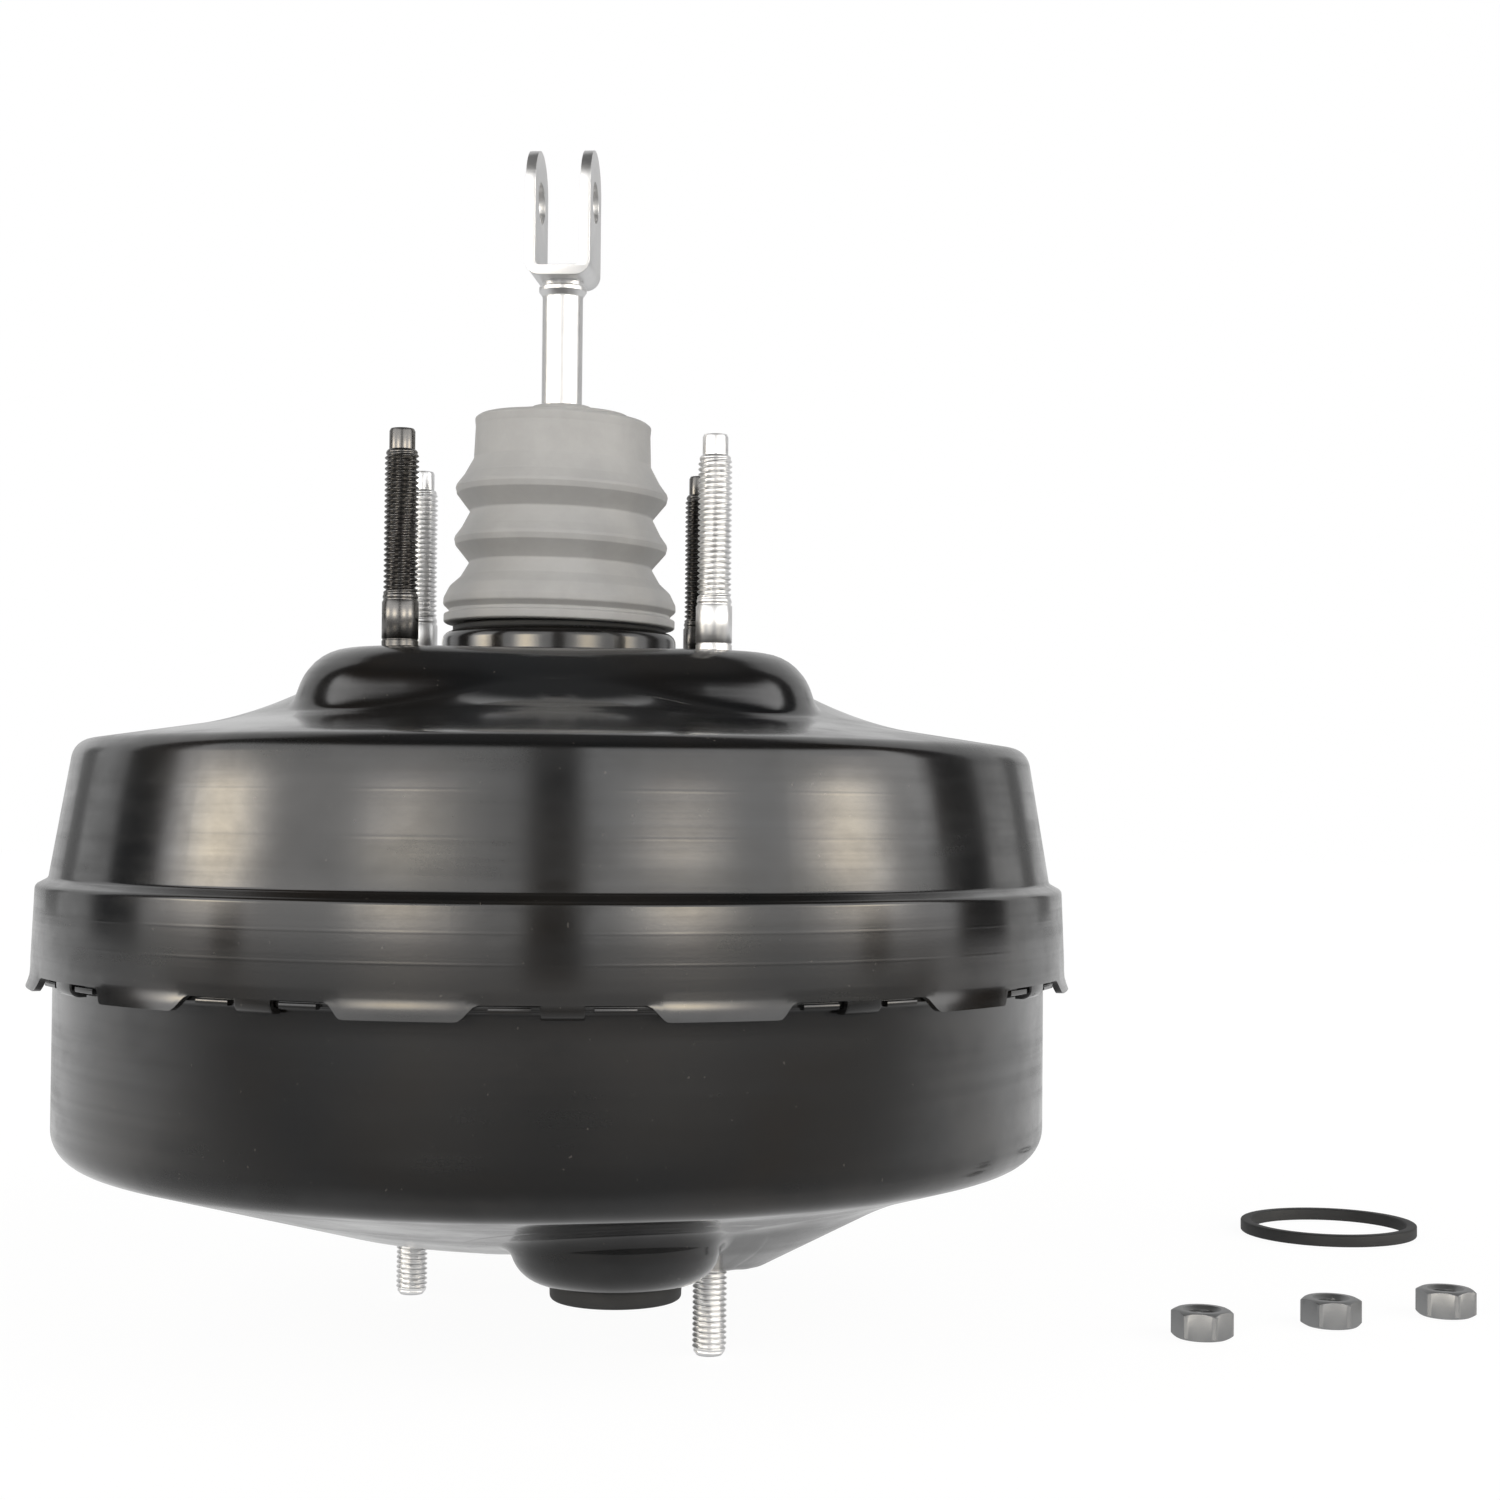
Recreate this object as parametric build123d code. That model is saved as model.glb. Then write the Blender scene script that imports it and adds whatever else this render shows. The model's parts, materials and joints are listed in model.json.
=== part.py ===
from build123d import *
import math
import os

# Brake booster, two diaphragms in tandem. Millimetres.
# The origin is the centre of the firewall face, on the hub. Z points to the pedal, -Z to the
# master cylinder.

# Clearances
run_gap = 0.3
slide_fit = 0.1
touch_gap = 0.1

# Sheet metal of the two shells
sheet = 1.6

# Rear shell
hub_half = 60.0
hub_corner = 32.0
hub_edge = 10.0
hub_blend = 6.0
cone_top_r = 66.0
cone_top_z = -9.3
cone_slope = 0.269
wall_top_r = 115.3
wall_foot_r = 120.7
wall_foot_z = -53.0
shoulder_round = 5.0
flange_z = -54.6
skirt_r = 124.4
skirt_edge_z = -74.7
lug_flare = 1.1
lug_foot_z = -78.0
collar_r = 28.8
collar_top_z = 7.5
collar_roll = 2.5
collar_mouth_r = 24.6

# Crimped edge
crimp_count = 12
crimp_start = 1.3
gap_top_half = 16.7
gap_foot_half = 21.0
tab_angle = 4.05
tab_root_angle = 6.7
tab_root_drop = 1.1
tab_reach = 4.0

# Front shell
rim_z = -74.6
rim_r = 122.4
front_wall_r = 119.4
front_corner_z = -117.5
front_corner_round = 8.0
front_flat_r = 53.8
front_flat_z = -136.3

# Pad of the master cylinder
pad_z = -140.5
pad_end_r = 13.0
pad_flare = 8.0
pad_centre_r = 27.0
snout_hole_r = 21.0
line_angle = -45.0

# Vacuum port
boss_x = 14.5
boss_y = -70.0
boss_r = 23.0
boss_face_z = -138.5
boss_edge = 8.0
grommet_r = 14.4
grommet_neck_r = 12.0
grommet_foot_z = -142.3
grommet_bore_r = 8.6
grommet_lip = 3.0

# Studs, M8
stud_r = 4.0
knurl_r = 4.4
stud_square = 72.8
rear_tip_z = 51.9
dog_point = 4.6
dog_r = 3.0
stud_head_r = 7.5
stud_head = 2.4
master_pitch = 104.1
master_tip_z = -162.0
stud_chamfer = 0.8

# Stud plates
stud_plate = 2.5
rear_plate_half = 49.5
rear_plate_corner = 22.0
rear_plate_hole_r = 37.5
front_plate_end_r = 11.0

# Valve body
neck_r = 19.8
neck_bore_r = 16.5
neck_top_z = 50.0
body_flange_r = 34.0
body_flange_top_z = -19.5
body_flange = 5.4
barrel_r = 30.0
barrel_foot_z = -72.0
nose_r = 24.0
nose_foot_z = -84.0
seat_r = 12.5
seat_bore_r = 11.0
seat_z = -15.0
seat_ledge = 2.0
plunger_bore_top_z = -20.0
disc_r = 14.0
disc_top_z = -75.0
disc_depth = 6.0

# Plunger and pushrod
plunger_r = 8.0
plunger_head_r = 10.4
plunger_head = 3.6
plunger_foot_z = -70.0
plunger_nose_r = 5.0
plunger_travel = 1.6
ball_r = 5.0
ball_z = -34.0
ball_mouth_r = 4.7
rod_neck_r = 3.6
rod_neck_top_z = -8.0
rod_r = 5.0
rod_flare_r = 5.6
rod_flange_r = 8.0
rod_flange_z = 24.0
rod_flange = 1.6

# Valve key
key_top_z = -21.0
key_thick = 2.4
key_width = 19.0
key_reach = 33.5
groove_r = 6.5

# Poppet, its retainer and springs
poppet_z = -14.0
poppet_lip = 2.0
poppet_lip_r = 14.5
poppet_hole_r = 7.0
poppet_sleeve_r = 9.6
poppet_sleeve_bore_r = 8.2
poppet_bead_z = 4.0
poppet_bead = 4.0
retainer_height = 2.4
retainer_sheet = 0.8
small_wire_r = 0.7
poppet_coil_r = 12.0
rod_coil_r = 10.2
poppet_turns = 3
rod_turns = 3

# Air filter
filter_z = 30.0
filter_height = 14.0
filter_hole_r = 9.8
filter_cap = 1.6

# Neck seal, guide ring and retainer
seal_foot_z = -1.0
guide_foot_z = -7.6
seal_lip_top_z = 9.0
seal_lip_r = 26.2
retainer_flange_r = 36.0
neck_retainer_sheet = 1.2

# Diaphragms, plates and divider
rubber = 1.8
thin_rubber = 1.0
rear_bead_z = -56.3
rear_bead = 3.7
divider_sheet = 1.5
divider_web_z = -62.0
divider_web_r = 112.0
divider_rim_foot_z = -71.0
divider_hub_r = 35.5
divider_hub_foot_z = -70.0
divider_lip_r = 31.5
plate_sheet = 1.5
plate_r = 103.0
rear_plate_dish_r = 52.0
rear_plate_top_z = -24.0
front_dish_r = 47.0
front_plate_top_z = -66.0
dish_flat_r = 40.0
roll_gap = 1.6
plate_ring_r = 33.5
plate_ring = 2.0

# Output side
output_head_r = 13.8
output_head = 3.0
output_r = 6.0
output_foot_z = -124.0
adjuster_r = 3.0
adjuster_hex = 10.0
adjuster_hex_height = 5.0
adjuster_tip_z = -133.0
cap_sheet = 0.8
cap_foot = 3.0

# Return spring
main_wire_r = 1.9
main_top_r = 29.0
main_foot_r = 35.0
main_turns = 4

# Dust boot
boot_wall = 2.0
boot_top_z = 59.6
boot_top_r = 21.6
boot_sleeve_r = 22.2
boot_sleeve_foot_z = 48.8
boot_crest_r = 26.1
boot_valley_r = 22.6
boot_crest_z = 42.3
boot_valley_z = 36.3
boot_pitch = 12.6
boot_folds = 2
boot_bulge_r = 28.7
boot_bulge_z = 14.7
boot_ring_z = 10.9
boot_ring_r = 28.5
boot_lip_r = 7.5
boot_lip_z = 63.6

# Clevis
clevis_foot_z = 94.7
clevis_top_z = 127.4
clevis_pin_z = 114.6
clevis_hole_r = 5.1
clevis_strap = 2.5
clevis_slot = 11.0
clevis_width = 20.0
clevis_round = 3.6
clevis_turn = -8.0
rivet_shank_r = 3.4
rivet_r = 4.4
rivet_height = 1.2

# Loose kit: three nuts and the master cylinder seal
nut_flats = 13.0
nut_height = 6.8
nut_bore_r = 3.5
nut_chamfer = 0.7
nut_places = ((156.7, -21.7, 11.0), (192.4, -8.8, 21.0), (225.5, 2.4, 4.0))
kit_seal_r = 26.0
kit_seal_wall = 3.0
kit_seal_height = 3.4
kit_seal_place = (232.7, 123.7)


def corner_edges(before, here, after, radius):
    """Arc that rounds one corner, with its two tangent points."""
    if radius == 0:
        return here, here, []
    back = (before - here).normalized()
    ahead = (after - here).normalized()
    half = math.radians(back.get_angle(ahead) / 2)
    reach = radius / math.tan(half)
    start = here + back * reach
    end = here + ahead * reach
    centre = here + (back + ahead).normalized() * (radius / math.sin(half))
    middle = centre + (here - centre).normalized() * radius
    return start, end, [ThreePointArc(start, middle, end)]


def outline(points):
    """Closed face in the XZ plane through (r, z) or (r, z, corner radius) points."""
    places = [Vector(p[0], 0, p[1]) for p in points]
    rounds = [p[2] if len(p) == 3 else 0 for p in points]
    count = len(points)
    corners = []
    for i in range(count):
        before = places[i - 1]
        after = places[(i + 1) % count]
        corners.append(corner_edges(before, places[i], after, rounds[i]))
    edges = []
    for i in range(count):
        leave = corners[i - 1][1]
        arrive = corners[i][0]
        if (arrive - leave).length > 1e-6:
            edges.append(Line(leave, arrive))
        edges.extend(corners[i][2])
    return make_face(edges)


def turned(points, angle=360):
    """Solid of revolution about Z."""
    return revolve(outline(points), Axis.Z, angle)


def ring(inner, outer, foot, top):
    """Plain ring between two radii and two heights."""
    if inner == 0:
        return Pos(0, 0, foot) * Cylinder(outer, top - foot, align=(Align.CENTER, Align.CENTER, Align.MIN))
    return turned([(inner, foot), (outer, foot), (outer, top), (inner, top)])


def pin(radius, foot, top):
    """Plain cylinder on the axis."""
    return ring(0, radius, foot, top)


def around(shape, count, start=0.0):
    """Copies of a shape, spaced evenly round the axis."""
    return [Rot(0, 0, start + 360 * i / count) * shape for i in range(count)]


def cone_z(radius):
    """Height of the rear shell's cone."""
    return cone_top_z - (radius - cone_top_r) * cone_slope


def rear_form(inset):
    """Outer form of the rear shell, or its cavity when inset by the sheet."""
    tilt = math.atan(cone_slope)
    drop = inset / math.cos(tilt)
    inner_r = 40.0
    top_z = cone_z(inner_r) - drop
    wall_top_z = cone_z(wall_top_r) - drop
    step_z = wall_foot_z if inset == 0 else flange_z - inset
    foot_z = lug_foot_z
    body = turned([
        (0, top_z), (0, foot_z), (skirt_r + lug_flare - inset, foot_z),
        (skirt_r - inset, skirt_edge_z, 4.0), (skirt_r - inset, flange_z - inset, 1.2),
        (wall_foot_r - inset, step_z, 1.0), (wall_top_r - inset, wall_top_z, shoulder_round - inset),
        (inner_r, top_z),
    ])
    side = 2 * (hub_half - inset)
    hub = extrude(RectangleRounded(side, side, hub_corner - inset), wall_foot_z / 2)
    hub = Pos(0, 0, -inset) * hub
    top_edges = hub.faces().sort_by(Axis.Z)[-1].edges()
    hub = fillet(top_edges, hub_edge - inset)
    form = body + hub
    seam = [e for e in form.edges() if is_hub_seam(e)]
    return fillet(seam, hub_blend + inset)


def is_hub_seam(edge):
    """Edge where the square hub meets the cone."""
    middle = edge @ 0.5
    radius = math.hypot(middle.X, middle.Y)
    near = hub_half - hub_edge < radius < hub_half + hub_corner / 2
    return near and -2 * hub_edge < middle.Z < -hub_edge / 2


def crimp_gap():
    """Cutter of one space between two lugs, wider at its foot."""
    low = lug_foot_z - 4
    far = 31.0
    points = [
        (-gap_top_half, skirt_edge_z, 1.6), (gap_top_half, skirt_edge_z, 1.6),
        (gap_foot_half, lug_foot_z, 2.6), (far, lug_foot_z), (far, low), (-far, low),
        (-far, lug_foot_z), (-gap_foot_half, lug_foot_z, 2.6),
    ]
    cutter = extrude(outline(points), 40, both=True)
    return Pos(0, -skirt_r, 0) * cutter


def crimp_tab():
    """One folded tab and its short root, centred on -Y."""
    inner = skirt_r - sheet
    under = rim_z - sheet
    fold = turned([
        (inner, skirt_edge_z + 1), (skirt_r, skirt_edge_z + 1), (skirt_r, under - sheet, 1.8),
        (skirt_r - tab_reach, under - sheet), (skirt_r - tab_reach, under), (inner, under),
    ], tab_angle)
    root = turned([
        (inner, skirt_edge_z + 1), (skirt_r, skirt_edge_z + 1), (skirt_r, skirt_edge_z - tab_root_drop),
        (inner, skirt_edge_z - tab_root_drop),
    ], tab_root_angle)
    fold = Rot(0, 0, -90 - tab_angle / 2) * fold
    root = Rot(0, 0, -90 - tab_root_angle / 2) * root
    return fold + root


def collar():
    """Neck collar with its rolled edge."""
    return turned([
        (collar_r - sheet, -sheet), (collar_r + 3, -sheet), (collar_r + 3, 0), (collar_r, 0, 1.5),
        (collar_r, collar_top_z, collar_roll), (collar_mouth_r, collar_top_z),
        (collar_mouth_r, collar_top_z - sheet), (collar_r - sheet, collar_top_z - sheet, 0.9),
    ])


def rear_studs_at():
    """Places of the four firewall studs."""
    half = stud_square / 2
    return {"dark": ((-half, -half), (half, half)), "bright": ((half, -half), (-half, half))}


def make_rear_shell():
    shell = rear_form(0) - rear_form(sheet)
    gaps = around(crimp_gap(), crimp_count, crimp_start)
    shell = shell - gaps
    shell = shell - pin(collar_r - sheet, -hub_edge, collar_top_z)
    shell = shell + collar()
    shell = shell + around(crimp_tab(), crimp_count, crimp_start)
    for pair in rear_studs_at().values():
        for x, y in pair:
            shell = shell - Pos(x, y, 0) * pin(knurl_r, -hub_edge, hub_edge)
    return shell.solids().sort_by(SortBy.VOLUME)[-1]


def obround(length, radius, z):
    """Rounded slot outline along the master cylinder's stud line."""
    return Pos(0, 0, z) * Rot(0, 0, line_angle) * SlotCenterToCenter(length, 2 * radius)


def front_form(inset):
    """Outer form of the front shell, or its cavity when inset by the sheet."""
    drop = math.atan2(front_corner_z - front_flat_z, front_wall_r - front_flat_r)
    wall = front_wall_r - inset
    corner_z = front_corner_z + inset / math.cos(drop) - inset * math.tan(drop)
    flat_z = front_flat_z + inset
    flat_r = wall - (corner_z - flat_z) / math.tan(drop)
    top = [(0, rim_z), (rim_r, rim_z), (rim_r, rim_z - sheet), (wall, rim_z - sheet, 1.0)]
    if inset > 0:
        top = [(0, rim_z), (wall, rim_z)]
    body = turned(top + [
        (wall, corner_z, front_corner_round - inset), (flat_r, flat_z, 12.0), (0, flat_z),
    ])
    root_z = flat_z + 3
    face_z = pad_z + inset
    length = master_pitch
    pad = loft([
        obround(length, pad_end_r + pad_flare - inset, root_z), obround(length, pad_end_r - inset, face_z),
    ])
    land = turned([
        (0, root_z), (pad_centre_r + pad_flare - inset, root_z), (pad_centre_r - inset, face_z), (0, face_z),
    ])
    boss = turned([
        (0, rim_z - 30), (boss_r - inset, rim_z - 30), (boss_r - inset, boss_face_z + inset, boss_edge - inset),
        (0, boss_face_z + inset),
    ])
    form = body + pad + land
    return form + Pos(boss_x, boss_y, 0) * boss


def make_front_shell():
    shell = front_form(0) - front_form(sheet)
    shell = shell - pin(snout_hole_r, pad_z - 1, front_flat_z + 4)
    shell = shell - Pos(boss_x, boss_y, 0) * pin(grommet_neck_r, boss_face_z - 1, boss_face_z + 4)
    for x, y in master_studs_at():
        shell = shell - Pos(x, y, 0) * pin(knurl_r, pad_z - 1, front_flat_z + 4)
    return shell


def master_studs_at():
    """Places of the two master cylinder studs."""
    turn = math.radians(line_angle)
    reach = master_pitch / 2
    spot = (reach * math.cos(turn), reach * math.sin(turn))
    return spot, (-spot[0], -spot[1])


def rear_stud():
    """Firewall stud: head under the plate, knurl in the sheets, shank with a groove, dog point."""
    seat = -sheet - stud_plate
    return turned([
        (0, seat - stud_head), (stud_head_r, seat - stud_head, 0.6), (stud_head_r, seat), (knurl_r, seat),
        (knurl_r, 0), (stud_r, 0), (stud_r, 2.6), (stud_r - 0.4, 2.9), (stud_r - 0.4, 3.4), (stud_r, 3.7),
        (stud_r, rear_tip_z - dog_point - stud_chamfer), (dog_r, rear_tip_z - dog_point),
        (dog_r, rear_tip_z - 0.4), (dog_r - 0.4, rear_tip_z), (0, rear_tip_z),
    ])


def master_stud():
    """Master cylinder stud: head inside the shell, knurl in the sheets, chamfered tip."""
    seat = pad_z + sheet + stud_plate
    return turned([
        (0, seat + stud_head), (stud_head_r, seat + stud_head, 0.6), (stud_head_r, seat), (knurl_r, seat),
        (knurl_r, pad_z), (stud_r, pad_z), (stud_r, master_tip_z + stud_chamfer),
        (stud_r - stud_chamfer, master_tip_z), (0, master_tip_z),
    ])


def make_rear_studs(shade):
    return Compound([Pos(x, y, 0) * rear_stud() for x, y in rear_studs_at()[shade]])


def make_master_studs():
    return Compound([Pos(x, y, 0) * master_stud() for x, y in master_studs_at()])


def make_rear_stud_plate():
    side = 2 * rear_plate_half
    plate = extrude(RectangleRounded(side, side, rear_plate_corner), -stud_plate)
    plate = Pos(0, 0, -sheet) * plate
    plate = plate - pin(rear_plate_hole_r, -hub_edge, 0)
    for pair in rear_studs_at().values():
        for x, y in pair:
            plate = plate - Pos(x, y, 0) * pin(knurl_r, -hub_edge, 0)
    return plate


def make_front_stud_plate():
    seat = pad_z + sheet
    plate = extrude(obround(master_pitch, front_plate_end_r, seat), stud_plate)
    plate = plate - pin(snout_hole_r, seat - 1, seat + stud_plate + 1)
    land = ring(snout_hole_r, pad_centre_r - sheet - 0.4, seat, seat + stud_plate)
    plate = plate + land
    for x, y in master_studs_at():
        plate = plate - Pos(x, y, 0) * pin(knurl_r, seat - 1, seat + stud_plate + 1)
    return plate


def make_vacuum_grommet():
    inside = boss_face_z + sheet
    bush = turned([
        (grommet_bore_r, grommet_foot_z), (grommet_r, grommet_foot_z, 0.8), (grommet_r, boss_face_z),
        (grommet_neck_r, boss_face_z), (grommet_neck_r, inside), (grommet_r, inside),
        (grommet_r - 1, inside + grommet_lip, 0.8), (grommet_bore_r, inside + grommet_lip),
    ])
    return Pos(boss_x, boss_y, 0) * bush


def make_neck_seal():
    """Rubber lip seal in the collar, with a ring that shows above the rolled edge."""
    bore = neck_r + slide_fit
    outer = collar_r - sheet
    under = collar_top_z - sheet
    return turned([
        (bore, seal_foot_z), (outer, seal_foot_z), (outer, under, 1.0), (collar_mouth_r, under),
        (collar_mouth_r, collar_top_z), (seal_lip_r, collar_top_z), (seal_lip_r, seal_lip_top_z),
        (bore + 1.6, seal_lip_top_z), (bore + 1.6, 1.5), (bore, 0.6),
    ])


def make_neck_guide_ring():
    return ring(neck_r + slide_fit, collar_r - sheet, guide_foot_z, seal_foot_z)


def make_seal_retainer():
    """Pressed cup that holds the guide ring up against the hub."""
    outer = collar_r - sheet
    wall = neck_retainer_sheet
    return turned([
        (outer, -sheet), (retainer_flange_r, -sheet), (retainer_flange_r, -sheet - wall),
        (outer + wall, -sheet - wall, 0.5), (outer + wall, guide_foot_z - wall, 1.0),
        (neck_r + 1.5, guide_foot_z - wall), (neck_r + 1.5, guide_foot_z), (outer, guide_foot_z),
    ])


def make_rear_diaphragm():
    """Bead in the crimp, wall up the shell, roll over the plate's edge, skin over the plate."""
    out = skirt_r - sheet - touch_gap
    low_wall = wall_foot_r - sheet - roll_gap
    high_wall = wall_top_r - sheet - roll_gap
    skin = rear_plate_top_z + touch_gap
    roll = skin - 4.0
    hub_r = body_flange_r + 2
    edge_r = plate_r + 1.5
    foot = rear_bead_z - rear_bead
    return turned([
        (low_wall - rubber, foot), (out, foot, 1.0), (out, rear_bead_z, 1.6), (low_wall, rear_bead_z),
        (low_wall, rear_bead_z + 5), (high_wall, roll, 3.0), (edge_r, skin + rubber, 1.0),
        (hub_r, skin + rubber), (hub_r, skin), (edge_r - 0.5, skin, 1.0), (high_wall - rubber, roll - 1.0, 1.5),
        (low_wall - rubber, rear_bead_z + 5),
    ])


def body_floor_z():
    """Front face of the valve body's flange, where the rear plate seats."""
    return body_flange_top_z - body_flange


def make_valve_body():
    """Moulded hub: neck, flange, barrel and nose, with seats and bores inside."""
    floor = body_floor_z()
    bore = plunger_r + slide_fit
    cup = disc_r + slide_fit
    body = turned([
        (neck_bore_r, neck_top_z), (neck_r, neck_top_z, 0.8), (neck_r, body_flange_top_z),
        (body_flange_r, body_flange_top_z, 1.0), (body_flange_r, floor), (barrel_r, floor),
        (barrel_r, barrel_foot_z), (nose_r, barrel_foot_z), (nose_r, nose_foot_z, 1.0),
        (cup, nose_foot_z), (cup, disc_top_z), (bore, disc_top_z), (bore, plunger_bore_top_z),
        (seat_bore_r, plunger_bore_top_z), (seat_bore_r, seat_z), (seat_r, seat_z),
        (seat_r, seat_z - seat_ledge), (neck_bore_r, seat_z - seat_ledge),
    ])
    slot = Box(2 * body_flange_r + 4, key_width + 0.6, key_thick + 0.4)
    slot = Pos(0, 0, key_top_z - key_thick / 2) * slot
    return body - slot


def make_valve_plunger():
    """Spool with a socket for the ball, a groove for the key and a nose for the disc."""
    top = poppet_z - run_gap
    groove_top = key_top_z + plunger_travel + slide_fit
    groove_foot = key_top_z - key_thick - slide_fit
    mouth_z = ball_z + math.sqrt((ball_r + 0.2) ** 2 - ball_mouth_r ** 2)
    nose_z = disc_top_z + plunger_travel + 0.2
    spool = turned([
        (0, nose_z), (plunger_nose_r, nose_z), (plunger_nose_r, plunger_foot_z),
        (plunger_r, plunger_foot_z), (plunger_r, groove_foot), (groove_r, groove_foot),
        (groove_r, groove_top), (plunger_r, groove_top), (plunger_r, top - plunger_head),
        (plunger_head_r, top - plunger_head), (plunger_head_r, top), (0, top),
    ])
    socket = Pos(0, 0, ball_z) * Sphere(ball_r + 0.2)
    mouth = turned([(0, mouth_z), (ball_mouth_r, mouth_z), (5.7, top + 1), (0, top + 1)])
    return spool - socket - mouth


def make_pushrod():
    """Ball, neck, rod with the spring flange, flare and rivet under the clevis."""
    neck_z = ball_z + math.sqrt(ball_r ** 2 - rod_neck_r ** 2)
    rivet_z = clevis_foot_z + clevis_strap
    rod = turned([
        (0, neck_z - 0.5), (rod_neck_r, neck_z - 0.5), (rod_neck_r, rod_neck_top_z - 2), (rod_r, rod_neck_top_z),
        (rod_r, rod_flange_z), (rod_flange_r, rod_flange_z), (rod_flange_r, rod_flange_z + rod_flange),
        (rod_r, rod_flange_z + rod_flange), (rod_r, clevis_foot_z - 6, 6.0), (rod_flare_r, clevis_foot_z),
        (rivet_shank_r, clevis_foot_z), (rivet_shank_r, rivet_z), (rivet_r, rivet_z),
        (rivet_r - 0.8, rivet_z + rivet_height, 0.5), (0, rivet_z + rivet_height),
    ])
    ball = Pos(0, 0, ball_z) * Sphere(ball_r)
    return rod + ball


def make_clevis():
    """Strap bent to a U, ends rounded, holes for the pin across both ears."""
    half = clevis_slot / 2 + clevis_strap
    strap = outline([
        (-half, clevis_top_z), (-half, clevis_foot_z, clevis_round), (half, clevis_foot_z, clevis_round),
        (half, clevis_top_z), (half - clevis_strap, clevis_top_z),
        (half - clevis_strap, clevis_foot_z + clevis_strap, clevis_round - clevis_strap),
        (clevis_strap - half, clevis_foot_z + clevis_strap, clevis_round - clevis_strap),
        (clevis_strap - half, clevis_top_z),
    ])
    fork = extrude(strap, clevis_width / 2, both=True)
    radius = clevis_width / 2
    side = Pos(0, 0, clevis_top_z - radius) * Rot(0, 90, 0) * Cylinder(radius, 4 * half)
    low = Pos(0, 0, clevis_foot_z) * Box(
        4 * half, clevis_width, clevis_top_z - radius - clevis_foot_z,
        align=(Align.CENTER, Align.CENTER, Align.MIN))
    fork = fork & (side + low)
    fork = fork - Pos(0, 0, clevis_pin_z) * Rot(0, 90, 0) * Cylinder(clevis_hole_r, 4 * half)
    fork = fork - pin(rivet_shank_r, clevis_foot_z - 1, clevis_foot_z + clevis_strap + 1)
    return Rot(0, 0, clevis_turn) * fork


def make_valve_key():
    """Flat key across the plunger's groove, forked round it."""
    key = Pos(0, 0, key_top_z - key_thick / 2) * Box(2 * key_reach, key_width, key_thick)
    mouth = Pos(key_reach, 0, key_top_z - key_thick / 2) * Box(2 * key_reach, 2 * groove_r + 0.6, key_thick + 2)
    return key - pin(groove_r + run_gap, key_top_z - 5, key_top_z + 5) - mouth


def make_poppet_valve():
    top = poppet_bead_z + poppet_bead
    return turned([
        (poppet_hole_r, poppet_z), (poppet_lip_r, poppet_z, 0.6), (poppet_lip_r, poppet_z + poppet_lip),
        (poppet_sleeve_r, poppet_z + poppet_lip), (poppet_sleeve_r, poppet_bead_z),
        (neck_bore_r, poppet_bead_z), (neck_bore_r, top), (poppet_sleeve_bore_r, top),
        (poppet_sleeve_bore_r, poppet_z + poppet_lip + 1), (poppet_hole_r, poppet_z + poppet_lip),
    ])


def make_poppet_retainer():
    foot = poppet_bead_z + poppet_bead
    return turned([
        (poppet_sleeve_bore_r, foot), (neck_bore_r, foot), (neck_bore_r, foot + retainer_height),
        (neck_bore_r - retainer_sheet, foot + retainer_height),
        (neck_bore_r - retainer_sheet, foot + retainer_sheet, 0.4),
        (poppet_sleeve_bore_r, foot + retainer_sheet),
    ])


def coil(foot_r, top_r, wire_r, foot, top, turns):
    """Open coil spring between two seats, its section a circle."""
    low = foot + wire_r
    high = top - wire_r
    cone = math.degrees(math.atan2(top_r - foot_r, high - low))
    path = Helix(pitch=(high - low) / turns, height=high - low, radius=foot_r, cone_angle=cone)
    start = path @ 0
    along = path % 0
    section = Plane(origin=start, z_dir=along) * Circle(wire_r)
    return Pos(0, 0, low) * sweep(section, path=path, is_frenet=True)


def make_poppet_spring():
    return coil(poppet_coil_r, poppet_coil_r, small_wire_r, poppet_z + poppet_lip, poppet_bead_z, poppet_turns)


def make_pushrod_return_spring():
    foot = poppet_bead_z + poppet_bead + retainer_sheet
    return coil(rod_coil_r, rod_coil_r - 3, small_wire_r, foot, rod_flange_z, rod_turns)


def make_air_filter():
    return ring(filter_hole_r, neck_bore_r, filter_z, filter_z + filter_height)


def make_filter_retainer():
    """Slotted cap over the filter, at the mouth of the neck."""
    foot = filter_z + filter_height
    cap = ring(filter_hole_r, neck_bore_r, foot, foot + filter_cap)
    slot = Pos((filter_hole_r + neck_bore_r) / 2, 0, foot) * Box(4, 2.4, 4 * filter_cap)
    return cap - around(slot, 8)


def pressed_plate(hub_r, hub_z, flat_r, rise_r, rise_z):
    """Pressed disc: flat at its hub, dished out to a flat rim."""
    wall = plate_sheet
    return turned([
        (hub_r, hub_z), (flat_r, hub_z, 2.0), (rise_r, rise_z, 2.0), (plate_r, rise_z, 3.0),
        (plate_r + 1, rise_z - wall - 1), (plate_r - 1, rise_z - wall - 1), (plate_r - wall - 1, rise_z - wall, 1.0),
        (rise_r + 0.8, rise_z - wall, 2.0), (flat_r + 0.8, hub_z - wall, 2.0), (hub_r, hub_z - wall),
    ])


def make_rear_diaphragm_plate():
    hub_r = barrel_r + touch_gap
    return pressed_plate(hub_r, body_floor_z(), dish_flat_r, rear_plate_dish_r, rear_plate_top_z)


def make_front_diaphragm_plate():
    hub_r = nose_r + touch_gap
    return pressed_plate(hub_r, barrel_foot_z, dish_flat_r, front_dish_r, front_plate_top_z)


def make_plate_retainer():
    """Star washer pressed on the nose, under the front plate."""
    top = barrel_foot_z - plate_sheet
    return ring(nose_r, plate_ring_r, top - plate_ring, top)


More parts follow.
